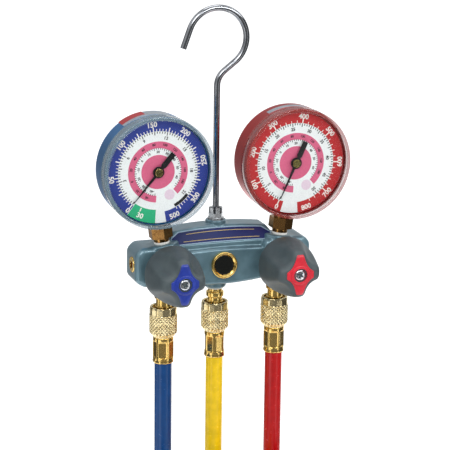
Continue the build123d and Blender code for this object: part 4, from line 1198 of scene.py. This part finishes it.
    def numerals(self) -> None:
        """The numbers of every scale."""
        scale = self.scale
        for text, angle in scale.numbers.items():
            self.figure("dial_white", text, 35.4, angle, 4.0)
        for text, angle in scale.bar_numbers.items():
            self.figure("dial_black", text, 25.6, angle, 2.5, True)
        for text, angle in scale.pale_numbers.items():
            self.figure("dial_black", text, 20.5, angle, 1.9, True)
        for text, angle in scale.inner_numbers.items():
            self.figure("dial_black", text, 15.0, angle, 1.9, True)

    def ticks(self) -> None:
        """The marks of every scale."""
        scale = self.scale
        count = int((scale.ring[1] - 14 - scale.zero) / scale.unit_step)
        for k in range(count + 1):
            angle = scale.zero + k * scale.unit_step
            major = k % scale.units_per_major == 0
            self.tick("dial_white", self.ring_inner, self.ring_inner + (3.2 if major else 1.8), angle,
                      0.8 if major else 0.5)
        count = int((330 - scale.zero) / scale.bar_step)
        for k in range(count + 1):
            angle = scale.zero + k * scale.bar_step
            reach = 2.6 if k % scale.bar_major == 0 else 1.5
            self.tick("dial_black", self.bar_outer - reach, self.bar_outer, angle, 0.6)
        for k in range(57):
            angle = 8 + k * 5.4
            reach = 1.7 if k % 5 == 0 else 1.0
            self.tick("dial_black", self.pink_inner - reach, self.pink_inner + 0.3, angle, 0.45)


@dataclass
class Gauge:
    """One dial gauge: case, clear lens, dial, pointer, hexagon stem and washer."""

    finishes: Finishes
    scale: Scale
    centre: tuple[float, float, float]
    case_radius: float = 41.4
    lens_radius: float = 42.0
    lens_back: float = 9.3
    lens_front: float = 19.4

    def build(self) -> None:
        """Builds the gauge's visible pieces."""
        side = self.scale.side
        word = side.word
        place = forward(*self.centre)
        case = "case_blue" if side is Side.LEFT else "case_red"
        dress(f"gauge_case_{word}", self.finishes[case])
        self.lens(place)
        self.shadow_gap(place)
        self.stickers(place)
        Dial(self.finishes, self.scale, place).build()
        dress(f"pointer_{word}", self.finishes["pointer_black"])
        dress(f"pointer_arbor_{word}", self.finishes["hub_brass"])
        dress(f"sector_gear_{word}", self.finishes["brass"])
        dress(f"gauge_link_{word}", self.finishes["brass"])

    def lens(self, place: Matrix) -> None:
        """The clear lens, with a stepped rim and a rounded front edge."""
        word = self.scale.side.word
        radius, back, front = self.lens_radius, self.lens_back, self.lens_front
        profile = rounded([(0, front), (38.8, front, 0.3), (39.3, front - 0.55, 0.3), (39.9, front - 0.1, 0.3),
                           (radius - 0.15, front - 0.3, 1.6), (radius, back + 3.0), (radius - 0.35, back + 2.4),
                           (radius, back + 1.8), (radius, back), (40.15, back), (40.15, 14.15), (39.05, 14.15),
                           (39.05, front - 1.8), (0, front - 1.8)], 5)
        mesh = bmesh.new()
        skin(mesh, turned(profile, 160))
        piece(f"lens_{word}_clear", mesh, place, self.finishes[f"lens_{word}"], "lens_clear", "manifold",
              f"lens_{word}")

    def shadow_gap(self, place: Matrix) -> None:
        """A thin dark ring of gasket rubber between the case and the lens: painted shadow, standing in for the
        shade in the gap there.
        """
        word, back = self.scale.side.word, self.lens_back
        inner, outer = self.case_radius - 0.05, self.case_radius + 0.2
        section = [(inner, back - 0.7), (outer, back - 0.7), (outer, back), (inner, back)]
        mesh = bmesh.new()
        skin(mesh, turned(section, 128), loop=True)
        # painted shadow: a dark ring laid in the gap between case and lens
        piece(f"gauge_{word}_gap", mesh, place, self.finishes["seal_rubber"], "seal_rubber", "manifold")

    def stickers(self, place: Matrix) -> None:
        """Bare stickers on the top of the case."""
        if self.scale.side is Side.LEFT:
            bands = (("white_label", "label_silver", "white_nylon", (-35, 17), (-7.4, 6.6), 0.10),
                     ("red_label", "label_red", "dial_red", (-35, -9), (-8.6, 1.6), 0.16))
        else:
            bands = (("white_label", "label_silver", "white_nylon", (-27, 17), (-0.6, 5.4), 0.10),)
        steps = 26
        for name, finish, slot, (start, end), (low, high), thick in bands:
            inner, outer = self.case_radius - 0.05, self.case_radius + thick
            section = ((inner, low), (outer, low), (outer, high), (inner, high))
            rows = []
            for k in range(steps + 1):
                angle = radians(90 - (start + (end - start) * k / steps))
                rows.append([Vector((r * cos(angle), r * sin(angle), z)) for r, z in section])
            mesh = bmesh.new()
            skin(mesh, rows, capped=True)
            piece(f"case_{self.scale.side.word}_{name}", mesh, place, self.finishes[finish], slot, "manifold")


@dataclass
class GaugeStems:
    """The leaning hexagon stems and nylon washers of both gauges."""

    finishes: Finishes

    def build(self) -> None:
        """Dresses the stems, washers and what is inside the gauges."""
        for node, finish in (("gauge_sockets", "brass_dark"), ("gauge_washers", "white_nylon"),
                             ("bourdon_tubes", "brass"), ("movement_frames", "brass"),
                             ("dial_standoffs", "plated_steel"), ("lens_gaskets", "seal_rubber")):
            dress(node, self.finishes[finish])


# ------------------------------------------------------------------------------------- ports and fittings
@dataclass
class Port:
    """Where one hose hangs: its place, its heights and the colour of its hose."""

    word: str
    x: float
    y: float
    boss: float
    nut_top: float
    drift: int
    tint: str


def ports() -> list[Port]:
    """The three hose ports."""
    return [Port("left", -44.5, -10.6, -17.0, -30.8, -1, "hose_blue"),
            Port("middle", 0.0, 0.0, -22.2, -33.6, 1, "hose_yellow"),
            Port("right", 44.5, -10.6, -17.0, -30.8, 1, "hose_red")]


@dataclass
class CouplingNut:
    """A knurled coupling nut with a faceted band under its mouth."""

    finishes: Finishes
    length: float = 23.7
    radius: float = 10.7
    band_radius: float = 10.35
    band_end: float = 5.8
    mouth_radius: float = 8.3
    foot_radius: float = 7.6
    facets: int = 12
    crests: int = 24
    pitch: float = 2.9
    knurl: float = 0.7

    def profile(self) -> Profile:
        """The nut's section, from its mouth down the outside and back up the bore."""
        reach = self.radius
        corners = [(self.mouth_radius, 0.35), (self.mouth_radius + 0.4, 0.0, 0.15), (9.8, 0.0, 0.3),
                   (self.band_radius, 1.5, 0.5), (self.band_radius, self.band_end - 0.3, 0.3),
                   (reach, self.band_end + 0.3, 0.2), (reach, self.length - 3.4, 2.4),
                   (self.foot_radius, self.length, 0.9), (6.25, self.length, 0.2), (6.2, self.length - 1.4),
                   (4.32, self.length - 1.4), (4.32, 16.9), (5.4, 16.9), (5.4, 12.4), (5.6, 12.4), (5.6, 5.0),
                   (self.mouth_radius, 5.0)]
        return refined(rounded(corners), self.band_end + 0.3, self.length, 0.3)

    def wave(self, radius: float, height: float, angle: float) -> float:
        """The radius at a place: facets on the band and a diamond knurl on the grip."""
        plain = self.mouth_radius + 0.5 if height < self.band_end else self.foot_radius - 0.5
        if radius < plain:
            return radius
        if height < self.band_end:
            half = pi / self.facets
            off = (angle + half) % (2 * half) - half
            flat = (self.band_radius - 0.02) * cos(half * 0.72) / cos(off)
            return min(radius, flat)
        grip = soft_step(height, self.band_end, self.band_end + 0.8)
        fade = grip * (1 - soft_step(height, self.length - 1.1, self.length - 0.2))
        turn = angle * self.crests / (2 * pi)
        first = abs((turn + height / self.pitch) % 1.0 - 0.5) * 2
        second = abs((turn - height / self.pitch) % 1.0 - 0.5) * 2
        return radius - self.knurl * fade * (1 - min(first, second))

    def build(self, name: str, body: str, place: Matrix) -> None:
        """Makes one nut.

        Args:
            name: the node that it stands for.
            body: the body that it rides on.
            place: a placement at its mouth, with local z running down the nut.
        """
        mesh = bmesh.new()
        skin(mesh, turned(self.profile(), 240, self.wave), loop=True)
        piece(f"{name}_knurled", mesh, place, self.finishes["nut_brass"], "brass", body, name)


@dataclass
class Ferrule:
    """A crimped ferrule with six pressed flats and a flared lip."""

    finishes: Finishes
    radius: float = 7.8
    length: float = 20.0
    flat_radius: float = 6.9
    flat_half: float = 2.95
    flat_start: float = 2.9
    flat_end: float = 16.0
    lip: float = 8.15
    hose: float = 6.62
    turn: float = 0.0

    def wave(self, radius: float, height: float, angle: float) -> float:
        """The radius at a place, pressed in at the flats and knobbly at the lip."""
        if radius < self.hose + 0.3:
            return radius
        if height > self.length - 2.2:
            return radius + 0.14 * sin(angle * 9 + 1.0) * (1 if radius > self.radius + 0.05 else 0.4)
        off = (angle - self.turn + pi / 6) % (pi / 3) - pi / 6
        beside = abs(self.radius * sin(off))
        corner = soft_step(height, self.flat_start - 0.3, self.flat_start + 1.2)
        corner *= 1 - soft_step(height, self.flat_end - 1.2, self.flat_end + 0.3)
        width = self.flat_half - 0.9 * (1 - corner)
        press = (1 - soft_step(beside, width - 0.25, width + 0.35)) * min(corner * 1.6, 1.0)
        border = 0.16 * (1 - soft_step(abs(beside - width - 0.25), 0.1, 0.5)) * min(corner * 1.4, 1.0)
        return radius - press * (radius - self.flat_radius / cos(off)) + min(border, 0.05)

    def add(self, mesh: bmesh.types.BMesh, place: Matrix) -> None:
        """Adds a ferrule to a mesh in part millimetres.

        Args:
            mesh: the mesh.
            place: a placement at the ferrule's top, with local z running down it.
        """
        corners = [(4.3, 0.1), (self.radius - 0.2, 0.1, 0.6), (self.radius, 1.2, 0.3),
                   (self.radius, self.length - 2.4, 0.4), (self.lip - 0.2, self.length - 1.6, 0.3),
                   (self.lip - 0.14, self.length - 0.6, 0.4), (self.lip - 0.4, self.length, 0.2),
                   (self.hose, self.length), (self.hose, 1.6), (4.3, 1.6)]
        profile = refined(rounded(corners, 3), 1.0, self.length - 1.8, 0.35)
        form = bmesh.new()
        skin(form, turned(profile, 168, self.wave), loop=True)
        add_form(mesh, form, place)


@dataclass
class Fittings:
    """Flare fittings, seals, nuts, ferrules and nipples at both ends of the hoses."""

    finishes: Finishes
    side_turn: float = -10.5  # how far a ferrule's flats are turned from the front, in degrees
    middle_turn: float = 19.5
    bead: float = 3.2

    def build(self, lines: "list[HoseLine]") -> dict[str, list[bpy.types.Object]]:
        """Makes the fittings.

        Args:
            lines: the hoses that they belong to.

        Returns:
            The far end's pieces of each hose, by the hose's word.
        """
        nut, whole = CouplingNut(self.finishes), Matrix.Scale(MM, 4)
        near, flare = bmesh.new(), bmesh.new()
        far: dict[str, list[bpy.types.Object]] = {}
        for line in lines:
            port = line.port
            ferrule = Ferrule(self.finishes, turn=radians(self.middle_turn if port.x == 0 else self.side_turn))
            nut.build(f"coupling_nut_{port.word}", f"coupling_nut_{port.word}",
                      downward(port.x, port.y, VALVE_LEVEL + port.nut_top))
            ferrule.add(near, downward(port.x, port.y, VALVE_LEVEL + port.nut_top - nut.length))
            self.flare(flare, port)
            end_x = port.x + port.drift * 2 * line.layer
            mouth = VALVE_LEVEL + line.foot() - ferrule.length - nut.length
            nut.build(f"end_nut_{port.word}", f"end_nut_{port.word}", upward(end_x, port.y, mouth))
            end = bmesh.new()
            ferrule.add(end, upward(end_x, port.y, mouth + nut.length))
            far[port.word] = [piece(f"end_ferrule_{port.word}", end, whole, self.finishes["brass"], "brass",
                                    "manifold", "end_ferrules")]
        piece("hose_ferrules_crimped", near, whole, self.finishes["brass"], "brass", "manifold", "hose_ferrules")
        piece("flare_unions", flare, whole, self.finishes["brass"], "brass", "manifold", "flare_fittings")
        for node, finish in (("hose_nipples", "brass_dark"), ("end_nipples", "brass_dark"),
                             ("valve_bonnets", "brass_dark"), ("port_seals", "white_nylon"),
                             ("stem_seals", "seal_rubber")):
            dress(node, self.finishes[finish])
        return far

    def flare(self, mesh: bmesh.types.BMesh, port: Port) -> None:
        """Adds one flare fitting: thread, neck, round bead, neck and the collar in the nut's mouth."""
        drop, bead = port.boss - port.nut_top, self.bead
        corners = [(2.5, -6.0), (4.56, -6.0), (4.56, 1.0), (5.45, 1.0), (5.45, bead, 0.5),
                   (6.75, bead + 0.5, 0.8), (6.75, bead + 4.1, 0.8), (5.5, bead + 4.6, 0.4),
                   (5.5, drop - 0.4, 0.3), (6.2, drop - 0.2, 0.3), (6.2, drop + 1.4, 0.4), (5.45, drop + 1.9),
                   (5.45, drop + 11.4, 0.4), (4.4, drop + 12.15), (2.5, drop + 12.15)]
        form = bmesh.new()
        skin(form, turned(rounded(corners), 96), loop=True)
        add_form(mesh, form, downward(port.x, port.y, VALVE_LEVEL + port.boss))


# ------------------------------------------------------------------------------------------------ hoses
@dataclass
class HoseLine:
    """A 60 in charging hose: it hangs straight down, then lies folded in a tied hank."""

    finishes: Finishes
    port: Port
    length: float = 1470.0
    diameter: float = 13.2
    fold: float = 41.5
    hank_top: float = -208.0
    layer: float = 13.6
    fitting: float = 43.7
    tie_thick: float = 1.25
    tie_wide: float = 20.0
    tie_corner: float = 0.6

    def run(self) -> float:
        """The length of one straight run of the hank."""
        first = self.exit_level() - self.hank_top
        tail = self.fold + self.diameter / 2
        return (self.length - first - 4 * pi * self.fold - tail) / 5

    def exit_level(self) -> float:
        """The height at which the hose leaves its ferrule."""
        return self.port.nut_top - self.fitting

    def foot(self) -> float:
        """The height at which the hose enters its far ferrule."""
        return self.hank_top - self.run() - self.fold - self.diameter / 2

    def points(self) -> list[tuple[float, float, float]]:
        """The route's control points, the hank's folds worked out turn by turn."""
        x, y = self.port.x, self.port.y
        start = self.exit_level()
        route = [(x, y, start + 5), (x, y, start - 10), (x, y, start - 50), (x, y, start - 95),
                 (x, y, self.hank_top)]
        bottom = self.hank_top - self.run()
        shift = (0, 0, 1, 1, 2)
        reach = self.fold / cos(radians(15))
        for turn in range(4):
            low = turn % 2 == 0
            level = bottom if low else self.hank_top
            near = y if turn % 2 == 0 else y - 2 * self.fold
            first_x = x + self.port.drift * self.layer * shift[turn]
            last_x = x + self.port.drift * self.layer * shift[turn + 1]
            route += [(first_x, near, (self.hank_top + bottom) / 2), (first_x, near, level)]
            way = -1 if turn % 2 == 0 else 1
            for k in range(6):
                angle = radians(15 + 30 * k)
                share = (k + 0.5) / 6
                depth = y - self.fold - way * reach * cos(angle)
                rise = (-1 if low else 1) * reach * sin(angle)
                route.append((first_x + (last_x - first_x) * share, depth, level + rise))
            route.append((last_x, y - 2 * self.fold if turn % 2 == 0 else y, level))
        end_x = x + self.port.drift * self.layer * 2
        route += [(end_x, y, (self.hank_top + bottom) / 2), (end_x, y, bottom), (end_x, y, self.foot() - 5)]
        return route

    def build(self) -> bpy.types.Object:
        """Makes the hose as one spline.

        Returns:
            The hose.
        """
        word = self.port.word
        curve = bpy.data.curves.new(f"hose_{word}_line", "CURVE")
        curve.dimensions = "3D"
        curve.bevel_depth = self.diameter / 2 * MM
        curve.bevel_resolution = 8
        curve.resolution_u = 8
        curve.use_fill_caps = True
        route = self.points()
        spline = curve.splines.new("NURBS")
        spline.points.add(len(route) - 1)
        for point, (x, y, level) in zip(spline.points, route):
            point.co = (x * MM, y * MM, (VALVE_LEVEL + level) * MM, 1.0)
        spline.order_u = 3
        spline.use_endpoint_u = True
        made = bpy.data.objects.new(f"hose_{word}_line", curve)
        bpy.context.scene.collection.objects.link(made)
        curve.materials.append(self.finishes[self.port.tint])
        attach(made, "manifold")
        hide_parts(f"hose_{word}", f"hose_hank_{word}")
        LOG.info("hose_%s_line: %d route points", word, len(route))
        return made

    def tie(self) -> bpy.types.Object:
        """The hook-and-loop tie round the hank, with rounded corners."""
        word, port, corner = self.port.word, self.port, self.tie_corner
        middle = self.hank_top - self.run() / 2
        half_x, half_y = self.layer + self.diameter / 2 + 0.1, self.fold + self.diameter / 2 + 0.1
        place = upward(port.x + port.drift * self.layer, port.y - self.fold, VALVE_LEVEL + middle)
        section = [(0, -self.tie_wide / 2), (self.tie_thick, -self.tie_wide / 2),
                   (self.tie_thick, self.tie_wide / 2), (0, self.tie_wide / 2)]
        rows = []
        for side_x, side_y, start in ((1, 1, 0), (-1, 1, 90), (-1, -1, 180), (1, -1, 270)):
            for k in range(7):
                angle = radians(start + 15 * k)
                rows.append([Vector((side_x * (half_x - corner) + (corner + out) * cos(angle),
                                     side_y * (half_y - corner) + (corner + out) * sin(angle), level))
                             for out, level in section])
        mesh = bmesh.new()
        skin(mesh, rows, loop=True)
        return piece(f"hose_tie_{word}", mesh, place, self.finishes["tie_black"], "tie_black", "manifold",
                     "hose_ties")


# ----------------------------------------------------------------------------------------------- studio
@dataclass
class Studio:
    """The camera, the white floor and the soft lights."""

    location: tuple = (-0.4505, -1.2970, 0.1976)
    azimuth: float = 19.45
    elevation: float = 14.68
    roll: float = 0.68
    lens: float = 150.5
    floor_half: float = 40.0
    aim: tuple = (0, 0, -0.17)
    flag_radius: float = 0.7
    flags: tuple = ((-45, 28, -1.0, 0.13, 0.20), (40, 110, -1.0, 0.2, 0.08), (-96, -75, -1.0, 0.2, 0.08),
                    (-150, -112, -1.0, 0.2, 0.08), (-178, -150, -1.0, -0.07, 0.42),
                    (-2, 50, 0.14, 0.32, 7.0))  # start, end, low, top, shade
    lamps: tuple = (("key", (-0.9, -1.5, 1.1), 0.9, 0.9, 15), ("fill", (1.5, -1.1, 0.5), 0.9, 0.9, 7.5),
                    ("top", (0.1, 0.3, 1.6), 1.1, 1.1, 10),
                    ("strip", (0.42, -1.1, 0.62), 0.9, 0.06, 3.6))  # name, place, width, depth, watts

    def camera(self) -> None:
        """Sets the camera up."""
        around, up, roll = radians(self.azimuth), radians(self.elevation), radians(self.roll)
        look = Vector((sin(around) * cos(up), cos(around) * cos(up), -sin(up)))
        level = Vector((cos(around), -sin(around), 0))
        rise = level.cross(look)
        right = level * cos(roll) + rise * sin(roll)
        top = rise * cos(roll) - level * sin(roll)
        data = bpy.data.cameras.new("view")
        data.lens = self.lens
        data.sensor_width = 36
        data.clip_end = 200
        view = bpy.data.objects.new("view", data)
        view.matrix_world = Matrix.Translation(self.location) @ Matrix((right, top, -look)).transposed().to_4x4()
        bpy.context.scene.collection.objects.link(view)
        bpy.context.scene.camera = view

    def floor(self, level: float) -> None:
        """A white floor that keeps a soft shadow.

        Args:
            level: its height in metres.
        """
        graph = Graph("floor_white")
        path = graph.node("ShaderNodeLightPath")
        camera, glossy, clear = (Value(graph, path.outputs[f"Is {kind} Ray"])
                                 for kind in ("Camera", "Glossy", "Transmission"))
        seen = camera.math("MAXIMUM", glossy).math("MAXIMUM", clear)
        lit = graph.node("ShaderNodeBsdfDiffuse", None, {"Color": (0.86, 0.86, 0.86, 1)})
        glow = graph.node("ShaderNodeEmission", None, {"Color": (1, 1, 1, 1), "Strength": seen * 0.5})
        finish = graph.close(graph.node("ShaderNodeAddShader", None, {0: lit.outputs[0], 1: glow.outputs[0]}))
        mesh = bpy.data.meshes.new("floor")
        reach = self.floor_half
        corners = [(x * reach, y * reach, level) for x, y in ((-1, -1), (1, -1), (1, 1), (-1, 1))]
        mesh.from_pydata(corners, [], [(0, 1, 2, 3)])
        mesh.materials.append(finish)
        made = bpy.data.objects.new("floor", mesh)
        bpy.context.scene.collection.objects.link(made)
        made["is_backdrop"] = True

    def world(self) -> None:
        """A white surround for the camera, and a soft studio with a darker front for the light."""
        graph = Graph("studio", world=True)
        split = graph.node("ShaderNodeSeparateXYZ", None, {0: graph.place})
        x, y, z = (Value(graph, socket) for socket in split.outputs)
        sides = graph.smooth(x.math("ABSOLUTE"), 0.25, 0.8)
        front = 1.0 - graph.smooth(y, -0.9, -0.2)
        top = graph.smooth(z, 0.1, 0.9)
        level = 0.42 + sides * 0.5 + top * 0.35 - front * 0.22
        light = graph.node("ShaderNodeBackground", None, {"Color": (0.97, 0.985, 1, 1), "Strength": level})
        white = graph.node("ShaderNodeBackground", None, {"Color": (1, 1, 1, 1), "Strength": 1.0})
        seen = graph.node("ShaderNodeLightPath").outputs["Is Camera Ray"]
        both = graph.node("ShaderNodeMixShader", None, {0: seen, 1: light.outputs[0], 2: white.outputs[0]})
        bpy.context.scene.world = graph.close(both)

    def lamp(self, name: str, spot: Sequence[float], width: float, depth: float, power: float) -> None:
        """A soft light that faces the part.

        Args:
            name: its name.
            spot: where it stands.
            width: its width in metres.
            depth: its other side.
            power: its power in watts.
        """
        data = bpy.data.lights.new(name, "AREA")
        data.shape = "RECTANGLE"
        data.size = width
        data.size_y = depth
        data.energy = power
        made = bpy.data.objects.new(name, data)
        made.location = spot
        made.rotation_euler = (Vector(self.aim) - Vector(spot)).to_track_quat("-Z", "Y").to_euler()
        bpy.context.scene.collection.objects.link(made)

    def flag(self, name: str, start: float, end: float, low: float, top: float, shade: float) -> None:
        """A curved card, dark or bright, that only reflections see.

        Args:
            name: its name.
            start: where it starts, in degrees from the front towards the right.
            end: where it ends.
            low: its lower edge in metres.
            top: its upper edge.
            shade: how bright it is.
        """
        graph = Graph(name)
        glow = graph.node("ShaderNodeEmission", None, {"Color": (0.96, 0.98, 1, 1), "Strength": shade})
        steps = max(int((end - start) / 4), 1)
        points = []
        for k in range(steps + 1):
            angle = radians(start + (end - start) * k / steps)
            x, y = self.flag_radius * sin(angle), -self.flag_radius * cos(angle)
            points += [(x, y, low), (x, y, top)]
        mesh = bpy.data.meshes.new(name)
        mesh.from_pydata(points, [], [(2 * k, 2 * k + 2, 2 * k + 3, 2 * k + 1) for k in range(steps)])
        mesh.materials.append(graph.close(glow))
        made = bpy.data.objects.new(name, mesh)
        bpy.context.scene.collection.objects.link(made)
        made.visible_camera = made.visible_diffuse = made.visible_shadow = made.visible_transmission = False
        made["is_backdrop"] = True

    def build(self, floor_level: float) -> None:
        """Builds the studio.

        Args:
            floor_level: the height of the floor in metres.
        """
        self.world()
        self.floor(floor_level)
        for k, (start, end, low, top, shade) in enumerate(self.flags):
            self.flag(f"flag_{k + 1}", start, end, max(low, floor_level), top, shade)
        for lamp in self.lamps:
            self.lamp(*lamp)


def main() -> None:
    """Dresses the part, one sub-assembly after another."""
    logging.basicConfig(level=logging.INFO, format="%(name)s %(message)s")
    cad_low, cad_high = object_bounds()
    centres = {side: (side.value * 53.571, -12.9, -111.926) for side in Side}
    finishes = Finishes(centres)
    studio = Studio()
    bpy.context.scene.view_settings.view_transform = "Standard"
    studio.camera()
    lines = [HoseLine(finishes, port) for port in ports()]
    hoses = {line.port.word: line.build() for line in lines}
    ties = {line.port.word: line.tie() for line in lines}
    far = Fittings(finishes).build(lines)
    for line in lines:
        port = line.port
        exit_point = (port.x * MM, port.y * MM, (VALVE_LEVEL + line.exit_level()) * MM)
    ManifoldBody(finishes).build()
    Hook(finishes).build()
    form = KnobForm()
    for side in Side:
        Valve(finishes, form, side).build()
    GaugeStems(finishes).build()
    for scale in (left_scale(), right_scale()):
        Gauge(finishes, scale, centres[scale.side]).build()
    studio.build(cad_low.z - 0.004)


if __name__ == "__main__":
    main()
